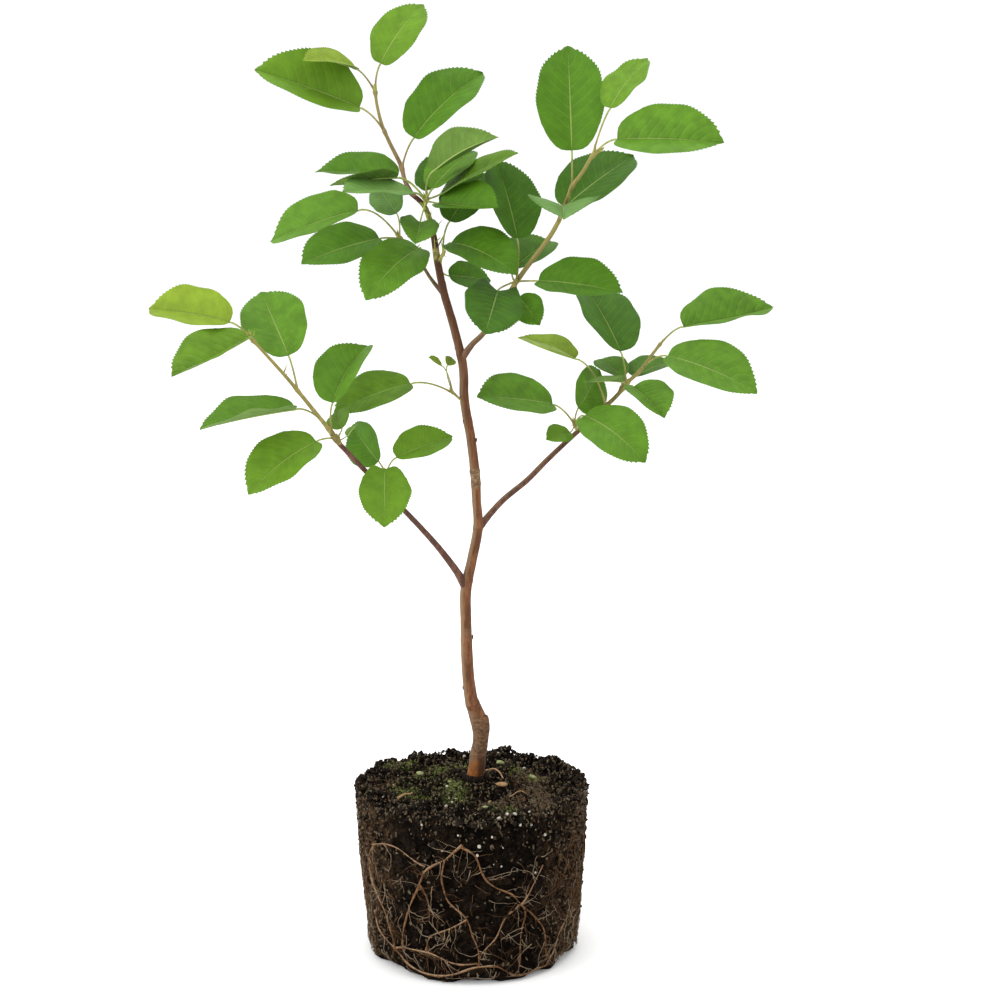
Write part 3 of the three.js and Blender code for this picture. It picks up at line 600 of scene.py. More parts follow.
def chipped(turn, height):
    """How far soil is broken off the lower edge, at an angle round from the front and a height."""
    depth = 0.0
    for middle, half, deep, high in CHIPS:
        away = (math.degrees(turn) - middle + 180) % 360 - 180
        if height < high:
            depth += deep * math.exp(-((away / half) ** 4)) * (1 - (height / high) ** 2)
    return depth


def on_wall(turn, height, off=0.0):
    """A place on the ball's wall, from degrees round from the front and height."""
    angle = math.radians(turn)
    radius = wall_radius(angle, height) - 0.6 * chipped(angle, height) + off
    return Vector((radius * math.sin(angle), -radius * math.cos(angle), height))


def soil_top(x, y):
    """Height of the soil's top in millimetres."""
    away = math.hypot(x - TRUNK[0][0], y - TRUNK[0][1])
    share = part_way(away, 13, 26)
    rough = share * share * (3 - 2 * share)
    height = sizes().ball_height / MM
    height += sum(rise * math.sin(a * x + b * y + start) for rise, a, b, start in SOIL_WAVES)
    for clod_x, clod_y, rise, spread in CLODS + RIM_LUMPS:
        height += rise * math.exp(-((x - clod_x) ** 2 + (y - clod_y) ** 2) / spread**2)
    level = TRUNK[0][2] - 0.3
    return level + (height - level) * rough


# Node trees


class Output:
    """An output of a node. Arithmetic on it adds Math nodes to its tree."""

    def __init__(self, wires, socket):
        self.wires, self.socket = wires, socket

    def math(self, operation, *values, **settings):
        """The output of a Math node."""
        links = dict(enumerate(values))
        return self.wires.node("ShaderNodeMath", links, operation=operation, **settings)

    def __add__(self, other):
        return self.math("ADD", self, other)

    def __sub__(self, other):
        return self.math("SUBTRACT", self, other)

    def __rsub__(self, other):
        return self.math("SUBTRACT", other, self)

    def __mul__(self, other):
        return self.math("MULTIPLY", self, other)

    def __truediv__(self, other):
        return self.math("DIVIDE", self, other)

    def __rtruediv__(self, other):
        return self.math("DIVIDE", other, self)

    def __pow__(self, other):
        return self.math("POWER", self, other)

    def __abs__(self):
        return self.math("ABSOLUTE", self)

    def spread(self, low, high):
        """The value spread smoothly from low to high onto nought to one."""
        links = {"Value": self, "From Min": low, "From Max": high}
        return self.wires.node("ShaderNodeMapRange", links, interpolation_type="SMOOTHSTEP")

    def between(self, low, high, soft):
        """One where the value lies between low and high, and nought well away from there."""
        above, below = self.spread(low - soft, low + soft), self.spread(high - soft, high + soft)
        return self.math("SUBTRACT", above, below, use_clamp=True)


class Wires:
    """A node tree under construction."""

    def __init__(self, tree):
        self.tree = tree

    def node(self, kind, links=None, output=0, **settings):
        """Adds a node with its settings, sets or joins its inputs, and gives one of its outputs."""
        node = self.tree.nodes.new(kind)
        for key, value in settings.items():
            setattr(node, key, value)
        for key, value in (links or {}).items():
            if isinstance(value, Output):
                self.tree.links.new(value.socket, node.inputs[key])
            else:
                node.inputs[key].default_value = value
        return Output(self, node.outputs[output])

    def vector(self, operation, first, second, output=0):
        """An output of a Vector Math node."""
        links = {0: first, "Scale" if operation == "SCALE" else 1: second}
        return self.node("ShaderNodeVectorMath", links, output, operation=operation)

    def part(self, vector, index):
        """One of a vector's three parts."""
        return self.node("ShaderNodeSeparateXYZ", {0: vector}, index)

    def noise(self, vector, scale, detail, rough, output=0):
        """An output of a noise texture."""
        links = {"Vector": vector, "Scale": scale, "Detail": detail, "Roughness": rough}
        return self.node("ShaderNodeTexNoise", links, output)

    def cells(self, vector, scale):
        """How far a place lies from the middle of its cell in a texture of cells."""
        return self.node("ShaderNodeTexVoronoi", {"Vector": vector, "Scale": scale}, "Distance")

    def warped(self, place):
        """A place shifted about as the soil's crumbs are, in its skin and in its colour alike."""
        warp = self.noise(place, 140.0, 2.0, 0.5, "Color")
        return self.vector("ADD", place, self.vector("SCALE", warp, 0.006))


class Growth(Wires):
    """A geometry node tree with named inputs, the last of them its material."""

    def __init__(self, name, **inputs):
        super().__init__(bpy.data.node_groups.new(name, "GeometryNodeTree"))
        self.tree.is_modifier = True
        sockets = self.tree.interface
        sockets.new_socket(name="Geometry", in_out="INPUT", socket_type="NodeSocketGeometry")
        sockets.new_socket(name="Geometry", in_out="OUTPUT", socket_type="NodeSocketGeometry")
        for label, kind in {**inputs, "Material": "Material"}.items():
            sockets.new_socket(name=label, in_out="INPUT", socket_type="NodeSocket" + kind)
        outputs = self.tree.nodes.new("NodeGroupInput").outputs
        labels = ("Geometry", "Material", *inputs)
        self.given = {label: Output(self, outputs[label]) for label in labels}
        self.place = self.node("GeometryNodeInputPosition")

    def attribute(self, name):
        """A number kept at each point."""
        kind = "GeometryNodeInputNamedAttribute"
        return self.node(kind, {"Name": name}, "Attribute", data_type="FLOAT")

    def close(self, geometry, offset):
        """Moves the points, ends in Realize Instances and Set Material, and gives the tree."""
        moved = self.node("GeometryNodeSetPosition", {"Geometry": geometry, "Offset": offset})
        real = self.node("GeometryNodeRealizeInstances", {"Geometry": moved})
        smooth = self.node("GeometryNodeSetShadeSmooth", {"Geometry": real})
        links = {"Geometry": smooth, "Material": self.given["Material"]}
        done = self.node("GeometryNodeSetMaterial", links)
        self.tree.links.new(done.socket, self.tree.nodes.new("NodeGroupOutput").inputs[0])
        return self.tree


def tube_growth():
    """Tubes along the carrier's edges, as thick as its thickness says, with a grain on the skin."""
    tubes = Growth("Tubes along paths", Sides="Int", Relief="Float", Grain="Float", Stretch="Vector")
    given, thickness = tubes.given, tubes.attribute("thickness")
    curve = tubes.node("GeometryNodeMeshToCurve", {"Mesh": given["Geometry"]})
    curve = tubes.node("GeometryNodeSetCurveRadius", {"Curve": curve, "Radius": thickness})
    ring = tubes.node("GeometryNodeCurvePrimitiveCircle", {"Resolution": given["Sides"], "Radius": 1.0})
    links = {"Curve": curve, "Profile Curve": ring, "Fill Caps": True, "Scale": thickness}
    skin = tubes.node("GeometryNodeCurveToMesh", links)
    stretched = tubes.vector("MULTIPLY", tubes.place, given["Stretch"])
    lift = (tubes.noise(stretched, given["Grain"], 3.0, 0.6) - 0.5) * given["Relief"]
    return tubes.close(skin, tubes.vector("SCALE", tubes.node("GeometryNodeInputNormal"), lift))


def soil_growth():
    """Crumbs raised on the carrier's skin, as high as its roughness attribute says."""
    soil = Growth("Crumbly soil", Crumb="Float", Rise="Float")
    place, given = soil.warped(soil.place), soil.given
    rate = 1.0 / given["Crumb"]
    layers = [(0.5 - soil.cells(place, rate * fine)) * share for fine, share in SOIL_LAYERS]
    rise = layers[0] + layers[1] + layers[2] + soil.noise(soil.place, 700.0, 4.0, 0.75) * 1.1 - 0.95
    lift = rise * given["Rise"] * soil.attribute("roughness")
    offset = soil.vector("SCALE", soil.node("GeometryNodeInputNormal"), lift)
    return soil.close(given["Geometry"], offset)


def scatter_growth():
    """Small rough lumps dealt out over the carrier's faces, as thick as the attribute named says."""
    kinds = {"Where": "String", "Density": "Float", "Least": "Vector", "Most": "Vector"}
    lumps = Growth("Lumps over a surface", **kinds, Rough="Float", Seed="Int")
    given = lumps.given
    density = lumps.attribute(given["Where"]) * given["Density"]
    links = {"Mesh": given["Geometry"], "Density": density, "Seed": given["Seed"]}
    points = lumps.node("GeometryNodeDistributePointsOnFaces", links)
    ball = lumps.node("GeometryNodeMeshUVSphere", {"Segments": 6, "Rings": 4, "Radius": 1.0})
    size, turn = (
        lumps.node("FunctionNodeRandomValue", {0: low, 1: high, "Seed": seed}, data_type="FLOAT_VECTOR")
        for low, high, seed in (
            (given["Least"], given["Most"], given["Seed"]),
            ((0.0, 0.0, 0.0), (math.tau, math.tau, math.tau), 7),
        )
    )
    turn = lumps.node("FunctionNodeEulerToRotation", {0: turn})
    links = {"Points": points, "Instance": ball, "Rotation": turn, "Scale": size}
    strewn = lumps.node("GeometryNodeInstanceOnPoints", links)
    strewn = lumps.node("GeometryNodeRealizeInstances", {"Geometry": strewn})
    noise = lumps.noise(lumps.place, 850.0, 3.0, 0.75, "Color")
    centred = lumps.vector("SUBTRACT", noise, (0.5, 0.5, 0.5))
    return lumps.close(strewn, lumps.vector("SCALE", centred, given["Rough"]))


def placed(name, mesh):
    """An object of a mesh, in the scene."""
    piece = bpy.data.objects.new(name, mesh)
    bpy.context.collection.objects.link(piece)
    return piece


def grown(name, mesh, tree, values):
    """A plain mesh object made by a growth tree from a carrier mesh."""
    carrier = placed(name + "_carrier", mesh)
    modifier = carrier.modifiers.new("growth", "NODES")
    modifier.node_group = tree
    for item in tree.interface.items_tree:
        if item.item_type == "SOCKET" and item.in_out == "INPUT" and item.name in values:
            modifier[item.identifier] = values[item.name]
    graph = bpy.context.evaluated_depsgraph_get()
    graph.update()
    made = bpy.data.meshes.new_from_object(carrier.evaluated_get(graph))
    if not len(made.polygons):
        raise RuntimeError(f"{name} came out empty")
    bpy.data.objects.remove(carrier)
    made.name = name
    return placed(name, made)


def keep(mesh, name, values):
    """Keeps a number at each point of a mesh."""
    mesh.attributes.new(name, "FLOAT", "POINT").data.foreach_set("value", values)


def path_mesh(name, paths):
    """A carrier of edges in metres. A path is its points, its radii and its tones, in millimetres."""
    points, edges, thick, tones = [], [], [], []
    for line, radii, tone in paths:
        start = len(points)
        points += [point * MM for point in line]
        edges += [(start + index, start + index + 1) for index in range(len(line) - 1)]
        thick += [radius * MM for radius in radii]
        tones += tone if isinstance(tone, list) else [tone] * len(line)
    mesh = bpy.data.meshes.new(name)
    mesh.from_pydata(points, edges, [])
    keep(mesh, "thickness", thick)
    keep(mesh, "tone", tones)
    return mesh


def tubes_along(name, tree, paths, look, sides, relief, grain, stretch=1.0):
    """An object of tubes along paths, with the grain's relief in metres and its stretch along z."""
    values = {
        "Sides": sides,
        "Relief": relief,
        "Grain": grain,
        "Stretch": (1.0, 1.0, stretch),
        "Material": look,
    }
    return grown(name, path_mesh(name + "_paths", paths), tree, values)


def settle(piece, slot, *nodes):
    """The piece rides on the plant and stands for the CAD nodes it replaces. Its slot is not used."""
    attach(piece, BODY)
    if nodes:
        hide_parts(*nodes)


# Materials


def solid(colour, share=1.0):
    """A colour with its strength changed and full opacity."""
    return (*(min(part * share, 1.0) for part in colour), 1.0)


class Look(Wires):
    """A material under construction, with a Principled shader."""

    def __init__(self, name, roughness, specular=0.1):
        self.material = bpy.data.materials.new(name)
        self.material.use_nodes = True
        super().__init__(self.material.node_tree)
        self.shader = self.tree.nodes["Principled BSDF"]
        self.shader.inputs["Roughness"].default_value = roughness
        self.shader.inputs["Specular IOR Level"].default_value = specular
        self.place = self.node("ShaderNodeTexCoord", output="Object")

    def attribute(self, name):
        """A number kept at each point."""
        return self.node("ShaderNodeAttribute", output="Fac", attribute_name=name)

    def stretched(self, shares, scale, detail, rough):
        """A noise texture drawn out along x, y and z."""
        return self.noise(self.vector("MULTIPLY", self.place, shares), scale, detail, rough)

    def facing(self, way):
        """How far the surface faces a way."""
        normal = self.node("ShaderNodeNewGeometry", output="Normal")
        return self.vector("DOT_PRODUCT", normal, way, "Value")

    def mix(self, share, first, second):
        """A mix of two colours."""
        return self.node("ShaderNodeMix", {0: share, 6: first, 7: second}, 2, data_type="RGBA")

    def finish(self, shade, height, distance, strength=0.8):
        """Joins up the colour and a bump from a height and a distance in millimetres."""
        links = {"Height": height, "Distance": distance * MM, "Strength": strength}
        normal = self.node("ShaderNodeBump", links)
        self.tree.links.new(shade.socket, self.shader.inputs["Base Color"])
        self.tree.links.new(normal.socket, self.shader.inputs["Normal"])
        return self.material


def bark_look(name, colour, flecks, toward=None, foot=None, tones=(0.0, 1.0), painted_highlight_share=0.0, bands=()):
    """Smooth young bark, streaked along the limb, with pale breathing pores, a painted highlight of
    pale bark on the side that faces the key lamp, and a change of tone along it. A foot's colour is
    that of worn bark low on the left, with painted shade low on the right and darker bark just over the
    ground.
    A band is a colour between two heights in metres, how soft its ends are and how solid it is."""
    look = Look(name, 0.66, 0.16)
    look.shader.inputs["Sheen Weight"].default_value = 0.16
    look.shader.inputs["Sheen Roughness"].default_value = 0.35
    pale = solid(finishes().bark_pale)
    across, height = look.part(look.place, 0), look.part(look.place, 2)
    streaks = look.stretched((1.0, 1.0, 0.16), 420.0, 5.0, 0.7)
    patches = look.stretched((1.0, 1.0, 0.5), 150.0, 4.0, 0.65)
    cracks = look.stretched((0.7, 0.7, 1.5), 520.0, 4.0, 0.75)
    shade = look.mix(streaks.spread(0.38, 0.64), solid(colour, 0.58), solid(colour, 1.36))
    shade = look.mix(patches.spread(0.5, 0.7), shade, solid(colour, 0.7))
    shade = look.mix(patches.spread(0.46, 0.34) * 0.25, shade, pale)
    # Painted highlight: pale bark laid where the limb faces the key lamp
    if painted_highlight_share:
        dry = look.facing((-0.75, -0.3, 0.6)) + streaks * 0.5
        shade = look.mix(dry.spread(0.55, 1.0) * painted_highlight_share, shade, pale)
    if toward is not None:
        shade = look.mix(look.attribute("tone").spread(*tones), shade, solid(toward))
    for tint, low, high, soft, share in bands:
        cover = (height.between(low, high, soft) + patches).spread(0.9, 1.4) * share
        tinted = look.mix(cracks.spread(0.42, 0.6), solid(tint, 0.5), solid(tint, 1.45))
        shade = look.mix(cover, shade, tinted)
    if foot is not None:
        low, side = 1.0 - height.spread(0.092, 0.116), 1.0 - across.spread(-0.002, 0.006)
        flakes = look.noise(look.place, 230.0, 5.0, 0.75)
        worn = (low * 0.5 + side * 0.14 + flakes).spread(0.72, 1.0)
        stained = look.mix(flakes.spread(0.36, 0.6), solid(foot, 0.3), solid(foot, 1.25))
        shade = look.mix(worn, shade, stained)
        # Painted shade darkens the foot low on its right side, away from the key lamp; the foot is also
        # darker just above the ground
        painted_shade_and_ground_band, ground_band = low * across.spread(0.001, 0.0055), 0.75 - height.spread(0.0945, 0.0985)
        painted_shade_and_ground_band = (painted_shade_and_ground_band.math("MAXIMUM", painted_shade_and_ground_band, ground_band) + flakes).spread(0.6, 1.1) * 0.85
        shade = look.mix(painted_shade_and_ground_band, shade, solid(foot, 0.16))
    pores = look.cells(look.vector("MULTIPLY", look.place, (0.6, 0.6, 1.4)), 420.0)
    pore = pores.math("LESS_THAN", pores, 0.14) * flecks
    return look.finish(look.mix(pore, shade, solid(colour, 2.1)), streaks + pore, 0.12, 0.7)


def leaf_look(name, colour, vein, under=False):
    """A leaf blade: a fine midrib, side veins that curve towards the tip, and mottled green between."""
    look = Look(name, *((0.75, 0.1) if under else (0.6, 0.15)))
    spot, dark, pale = look.node("ShaderNodeUVMap", uv_map="blade"), solid(colour, 0.8), solid(vein)
    across, along = abs(look.part(spot, 0) - 0.5) * 2.0, look.part(spot, 1)
    mottle, fine = look.noise(look.place, 150.0, 4.0, 0.6), look.noise(look.place, 1300.0, 2.0, 0.6)
    phase = (along - across**1.2 * 0.24 + (mottle - 0.5) * 0.05) * SIDE_VEINS
    off = abs(phase.math("FRACT", phase) - 0.5)
    fade = 1.0 - across * 0.8
    rib = 1.0 - (across / ((1.2 - along) * 0.034)).spread(0.4, 1.3)
    shade = look.mix(mottle.spread(0.3, 0.72), dark, solid(colour, 1.18))
    shade = look.mix(look.attribute("shade") * 0.45, shade, solid(colour, 1.25))
    shade = look.mix(fine.spread(0.45, 0.8) * 0.3, shade, dark)
    shade = look.mix(off.spread(0.42, 0.5) * fade * (0.35 if under else 0.17), shade, pale)
    shade = look.mix(rib * 0.6, shade, pale)
    sunken = (off * 2.0) ** 3.0 * fade * 0.8 + rib
    return look.finish(shade, fine * 0.25 - sunken, -0.4 if under else 0.4)


def soil_look():
    """Damp dark soil, with brown fibre and moss where the skin's attributes say, and painted shade in
    the hollows between the crumbs.
    """
    own, look = finishes(), Look("soil", 0.85, 0.03)
    broad, fine = look.noise(look.place, 60.0, 4.0, 0.6), look.noise(look.place, 520.0, 5.0, 0.75)
    specks = look.noise(look.place, 1600.0, 3.0, 0.7)
    fibre = look.stretched((1.0, 1.0, 2.6), 800.0, 3.0, 0.7)
    shade = look.mix(fine.spread(0.42, 0.64), solid(own.soil, 0.25), solid(own.soil, 1.5))
    shade = look.mix(broad.spread(0.5, 0.7) * 0.2, shade, solid(own.soil_light, 0.6))
    fibres = fibre.spread(0.56, 0.7) * (look.attribute("fibrous") * 0.5 + 0.3)
    shade = look.mix(fibres, shade, solid(own.soil_light, 0.9))
    shade = look.mix(specks.spread(0.66, 0.74) * 0.6, shade, solid(own.grain, 0.4))
    patches = (("fibrous", own.soil_light, 0.42, 0.62), ("mossy", own.moss, 0.38, 0.58))
    for name, colour, low, high in patches:
        share = look.attribute(name) * broad.spread(0.3, 0.56)
        shade = look.mix(share * (fine + fibre * 0.1).spread(low, high), shade, solid(colour, 1.6))
    # Painted shade: darker soil in the hollows between the raised crumbs, cell by cell as the skin is
    # raised
    hollow_shade = look.cells(look.warped(look.place), 155.0).spread(0.42, 0.7) * 0.75
    shade = look.mix(hollow_shade, shade, solid(own.soil, 0.2))
    return look.finish(shade, fine + (fibre + specks), 1.0, 1.0)


def grain_look(name, colour, roughness, change=0.25):
    """A rough bit of mineral, husk, moss or root: one colour with mottled light and dark in it."""
    look = Look(name, roughness)
    mottle = look.noise(look.place, 650.0, 4.0, 0.65)
    shade = look.mix(mottle.spread(0.3, 0.72), solid(colour, 1 - change), solid(colour, 1 + change))
    return look.finish(shade, mottle, 0.25)


def root_look():
    """The main roots' brown skin, mottled, with a painted highlight where it faces up and forward
    towards the lamps.
    """
    own, look = finishes(), Look("root_skin", 0.7)
    mottle = look.noise(look.place, 420.0, 4.0, 0.7)
    # Painted highlight: pale root colour where the skin faces up and forward, towards the lamps
    dry = look.facing((-0.25, -0.5, 0.83)) + mottle * 0.9
    shade = look.mix(mottle.spread(0.36, 0.62), solid(own.root, 0.45), solid(own.root, 1.35))
    shade = look.mix(dry.spread(0.95, 1.5), shade, solid(own.root_painted_highlight))
    return look.finish(shade, mottle, 0.25)


# Root ball


def patch_share(kind, x, y):
    """How much a kind of patch covers a place on the soil's top."""
    share = 0.0
    for name, from_x, from_y, to_x, to_y, half in PATCHES:
        if name == kind:
            run = (to_x - from_x, to_y - from_y)
            along = ((x - from_x) * run[0] + (y - from_y) * run[1]) / (run[0] ** 2 + run[1] ** 2)
            along = min(max(along, 0), 1)
            away = math.hypot(x - from_x - run[0] * along, y - from_y - run[1] * along)
            share = max(share, math.exp(-((away / half) ** 2)))
    return share


def ball_mesh():
    """The root ball's skin in fine rings, with how rough and how strewn each place is."""
    own = sizes()
    height, foot, rim = own.ball_height / MM, own.foot_radius / MM, own.rim_radius / MM
    edge = own.edge_round / MM
    rings = [("under", radius) for radius in np.linspace(3, foot - edge, 9)]
    rings += [("edge", angle) for angle in np.linspace(0, math.pi / 2, 6)[1:]]
    rings += [("wall", level) for level in np.linspace(edge + 1, height - RIM_DROP, 92)]
    rings += [("rim", angle) for angle in np.linspace(0, math.pi / 2, 7)[1:-1]]
    rings += [("top", radius) for radius in np.linspace(rim - RIM_INSET, 1.2, 62)]
    points, rows = [], []
    for kind, value in rings:
        for side in range(BALL_SIDES):
            turn = math.tau * side / BALL_SIDES
            if kind == "under":
                radius = value * (1 - chipped(turn, 0) / foot)
                level, grade, strew = 0.0, 0.0, 0.0
            elif kind == "edge":
                level = edge * (1 - math.cos(value))
                radius = foot - edge + edge * math.sin(value) - chipped(turn, level)
                grade, strew = 0.5 * math.sin(value), 0.0
            elif kind == "wall":
                radius = wall_radius(turn, value) - chipped(turn, value)
                level, grade = value, 0.85 + 0.25 * (value / height) ** 3
                strew = 0.1 + 0.3 * (value / height) ** 4
            elif kind == "rim":
                radius = wall_radius(turn, height - RIM_DROP) - RIM_INSET * (1 - math.cos(value))
                top = soil_top(radius * math.sin(turn), -radius * math.cos(turn))
                level = height - RIM_DROP + (top - height + RIM_DROP) * math.sin(value)
                grade, strew = 1.15, 1.6
            else:
                radius = value
                level = soil_top(radius * math.sin(turn), -radius * math.cos(turn))
                grade, strew = 0.7 + 0.6 * part_way(radius, 12, 32), 0.8 + 0.5 * (radius / rim) ** 4
            x, y = radius * math.sin(turn), -radius * math.cos(turn)
            points.append((x * MM, y * MM, level * MM))
            if kind == "top":
                mossy, fibrous = patch_share("mossy", x, y), 5 * patch_share("fibrous", x, y)
                rimmed = part_way(radius, 48, 56)
            else:
                round_the_side = abs((math.degrees(turn) + 180) % 360 - 180)
                flank = part_way(round_the_side, 34, 70) if kind in ("wall", "rim") else 0.0
                mossy, fibrous, rimmed = 0.0, 0.03 + 0.87 * flank, float(kind == "rim")
            rows.append((grade, strew, mossy, fibrous, rimmed))
    faces = []
    for ring in range(len(rings) - 1):
        for side in range(BALL_SIDES):
            a, b = ring * BALL_SIDES + side, ring * BALL_SIDES + (side + 1) % BALL_SIDES
            faces.append((a, b, b + BALL_SIDES, a + BALL_SIDES))
    faces.append(tuple(range(BALL_SIDES))[::-1])
    faces.append(tuple(range((len(rings) - 1) * BALL_SIDES, len(rings) * BALL_SIDES)))
    mesh = bpy.data.meshes.new("soil_skin")
    mesh.from_pydata(points, [], faces)
    for name, numbers in zip(("roughness", "density", "mossy", "fibrous", "rimmed"), zip(*rows)):
        keep(mesh, name, numbers)
    return mesh


def lump(bag, centre, reach, turns, seed):
    """Adds one rough lump, a squashed ball of a few dozen faces, to the bag of points and faces."""
    points, faces = bag
    chance = random.Random(seed)
    across, rounds = 7, 4
    turn = Quaternion((0, 0, 1), math.radians(turns[0])) @ Quaternion((1, 0, 0), math.radians(turns[1]))
    rows = [[Vector((0, 0, -1))]]
    for level in range(1, rounds):
        tilt = math.pi * level / rounds - math.pi / 2
        angles = [math.tau * (side + 0.5 * (level % 2)) / across for side in range(across)]
        wide, high = math.cos(tilt), math.sin(tilt)
        circle = [(math.cos(angle), math.sin(angle)) for angle in angles]
        rows.append([Vector((wide * x, wide * y, high)) for x, y in circle])
    rows.append([Vector((0, 0, 1))])
    ids = []
    for row in rows:
        ids.append([])
        for spot in row:
            shaken = spot * chance.uniform(0.8, 1.18)
            shaken = Vector((shaken.x * reach[0], shaken.y * reach[1], shaken.z * reach[2]))
            ids[-1].append(len(points))
            points.append((centre + turn @ shaken) * MM)
    for side in range(across):
        other = (side + 1) % across
        faces.append((ids[0][0], ids[1][other], ids[1][side]))
        faces.append((ids[-1][0], ids[-2][side], ids[-2][other]))
        for lower, upper in zip(ids[1:], ids[2:-1]):
            faces.append((lower[side], lower[other], upper[other], upper[side]))


def bag_piece(name, bag, look):
    """A smooth object from a bag of points and faces."""
    mesh = bpy.data.meshes.new(name)
    mesh.from_pydata(bag[0], [], bag[1])
    mesh.shade_smooth()
    mesh.materials.append(look)
    return placed(name, mesh)


# Roots


def root_path(way, thick, chance):
    """One root's points, radii and tone along the ball's wall, wavering a little."""
    flat = [Vector((turn, height, 0)) for turn, height in way]
    run = sum((b - a).length for a, b in zip(flat, flat[1:]))
    steps = max(8, int(run / 1.6))
    line, radii = [], []
    drift = [chance.uniform(0, math.tau) for _ in range(3)]

    def wave(share, rate, number):
        return math.sin(share * steps * rate + drift[number])

    for step in range(steps + 1):
        share = step / steps
        spot = spline_point(flat, share)
        inside = math.sin(math.pi * share) ** 0.4
        sway = inside * (wave(share, 0.5, 0) * 0.5 + wave(share, 0.17, 1) * 0.9)
        rise = inside * (wave(share, 0.41, 2) * 0.5 + wave(share, 0.13, 0))
        radius = thick / 2 * (0.72 - 0.22 * share + 0.16 * wave(share, 0.6, 2))
        radius += 0.25 * math.exp(-((share * run) ** 2) / 4)
        lift = 0.1 * thick / 2 + 0.2 + 0.45 * wave(share, 0.3, 1)
        line.append(on_wall(spot.x + sway * 0.6, spot.y + rise * 0.5, lift))
        radii.append(radius)
    return line, radii, chance.random()


def back_ways(chance):
    """The ways of the roots round the back: one ring near the foot, and one down from each start."""
    ring = [(turn, BACK_FOOT + 5 * (chance.random() - 0.5)) for turn in BACK_STARTS]
    ways = [(1.8, ring)]
    for index, start in enumerate(BACK_STARTS):
        way = []
        for step in range(6):
            height = BACK_TOP + (BACK_FOOT - BACK_TOP) * step / 6 - 6 * chance.random()
            way.append((start + 18 * (chance.random() - 0.5), height))
        ways.append((1.2 + 0.4 * chance.random(), way + [ring[index]]))
    return ways


def rootlet_path(chance, turn, height, heading, length, thick):
    """One fine root's points, radii and tone, wandering over the wall from a place."""
    step = 1.1
    count = max(3, int(length / step))
    bend = chance.gauss(0, 0.03)
    spots, line, radii = [], [], []
    for index in range(count + 1):
        spots.append((turn, height, heading))
        line.append(on_wall(turn, min(max(height, 3.5), 88), 0.6 + 0.35 * math.sin(index * 0.8 + turn)))
        radii.append(thick * (1.0 - 0.65 * index / count))
        heading += bend + chance.gauss(0, 0.17)
        turn += math.degrees(math.cos(heading) * step / 59)
        height += math.sin(heading) * step
    return spots, (line, radii, chance.random())


def rootlet_paths(chance, count, flanks):
    """Fine roots: some branch from the main roots, the rest start anywhere, and most branch again.
    Longer ones hang down the flanks, as many as the share of the count says."""
    paths = []
    ways = [way for _, way in FRONT_ROOTS + back_ways(random.Random(SEEDS["roots"]))]
    for _ in range(count):
        if chance.random() < 0.4:
            way = chance.choice(ways)
            index = chance.randrange(len(way) - 1)
            share = chance.random()
            here, there = way[index], way[index + 1]
            turn = here[0] + (there[0] - here[0]) * share
            height = here[1] + (there[1] - here[1]) * share
            main = math.atan2(there[1] - here[1], there[0] - here[0])
            heading = main + chance.choice((-1, 1)) * chance.uniform(0.5, 1.4)
        else:
            turn, height = chance.uniform(-180, 180), 4 + 66 * chance.random() ** 1.3
            if abs(turn) < 45 and chance.random() < 0.45:
                turn += math.copysign(60, turn)
            heading = chance.gauss(-math.pi / 2, 0.8)
        thick = chance.uniform(0.11, 0.25)
        spots, path = rootlet_path(chance, turn, height, heading, chance.uniform(4, 18), thick)
        paths.append(path)
        for _ in range(chance.choice((0, 0, 1, 1, 2))):
            turn, height, heading = chance.choice(spots[1:])
            heading += chance.choice((-1, 1)) * chance.uniform(0.5, 1.2)
            length = chance.uniform(2, 7)
            paths.append(rootlet_path(chance, turn, height, heading, length, thick * 0.7)[1])
    for _ in range(int(count * flanks)):
        turn, height = chance.choice((-1, 1)) * chance.uniform(46, 120), chance.uniform(30, 84)
        heading = chance.gauss(-math.pi / 2, 0.16)
        thick = chance.uniform(0.12, 0.3)
        paths.append(rootlet_path(chance, turn, height, heading, chance.uniform(14, 44), thick)[1])
    return paths


# Trunk, boughs and shoots


def limb_path(rows, steps, scars=()):
    """A limb's points, radii and tones, with darker ring scars at their heights."""
    line, radii = spline(rows, steps)
    tones = [index / steps for index in range(steps + 1)]
    for index, point in enumerate(line):
        for height, rise in scars:
            close = math.exp(-(((point.z - height) / 1.3) ** 2))
            radii[index] += rise * close
            tones[index] = max(tones[index], 0.8 * close**3)
    return line, radii, tones


def stem_run(stem):
    """A mass's stem as closely spaced points."""
    return spline(stem, 12 * (len(stem) - 1))


def is_spur(stem):
    """Whether a mass's stem is a short spur with its leaves crowded together."""
    return len(stem) <= 3


def scarred_stem(stem, leaves):
    """A mass's stem with a swelling where each leaf stands on it, slighter on a spur."""
    line, radii = stem_run(stem)
    own, swelling = (0.74, 0.08) if is_spur(stem) else (1.0, 0.32)
    radii = [radius * own for radius in radii]
    for at, *_ in leaves:
        foot = point_at(line, at)
        for index, point in enumerate(line):
            radii[index] += swelling * math.exp(-(((point - foot).length / 1.5) ** 2))
    radii[-1] *= 0.8
    return line, radii, [index / (len(line) - 1) for index in range(len(line))]


def leaf_place(line, leaf):
    """Where a leaf's stalk starts and where its blade does."""
    foot = point_at(line, leaf[0])
    reach, heading, rise = leaf[1]
    return foot, foot + direction(heading, rise) * reach


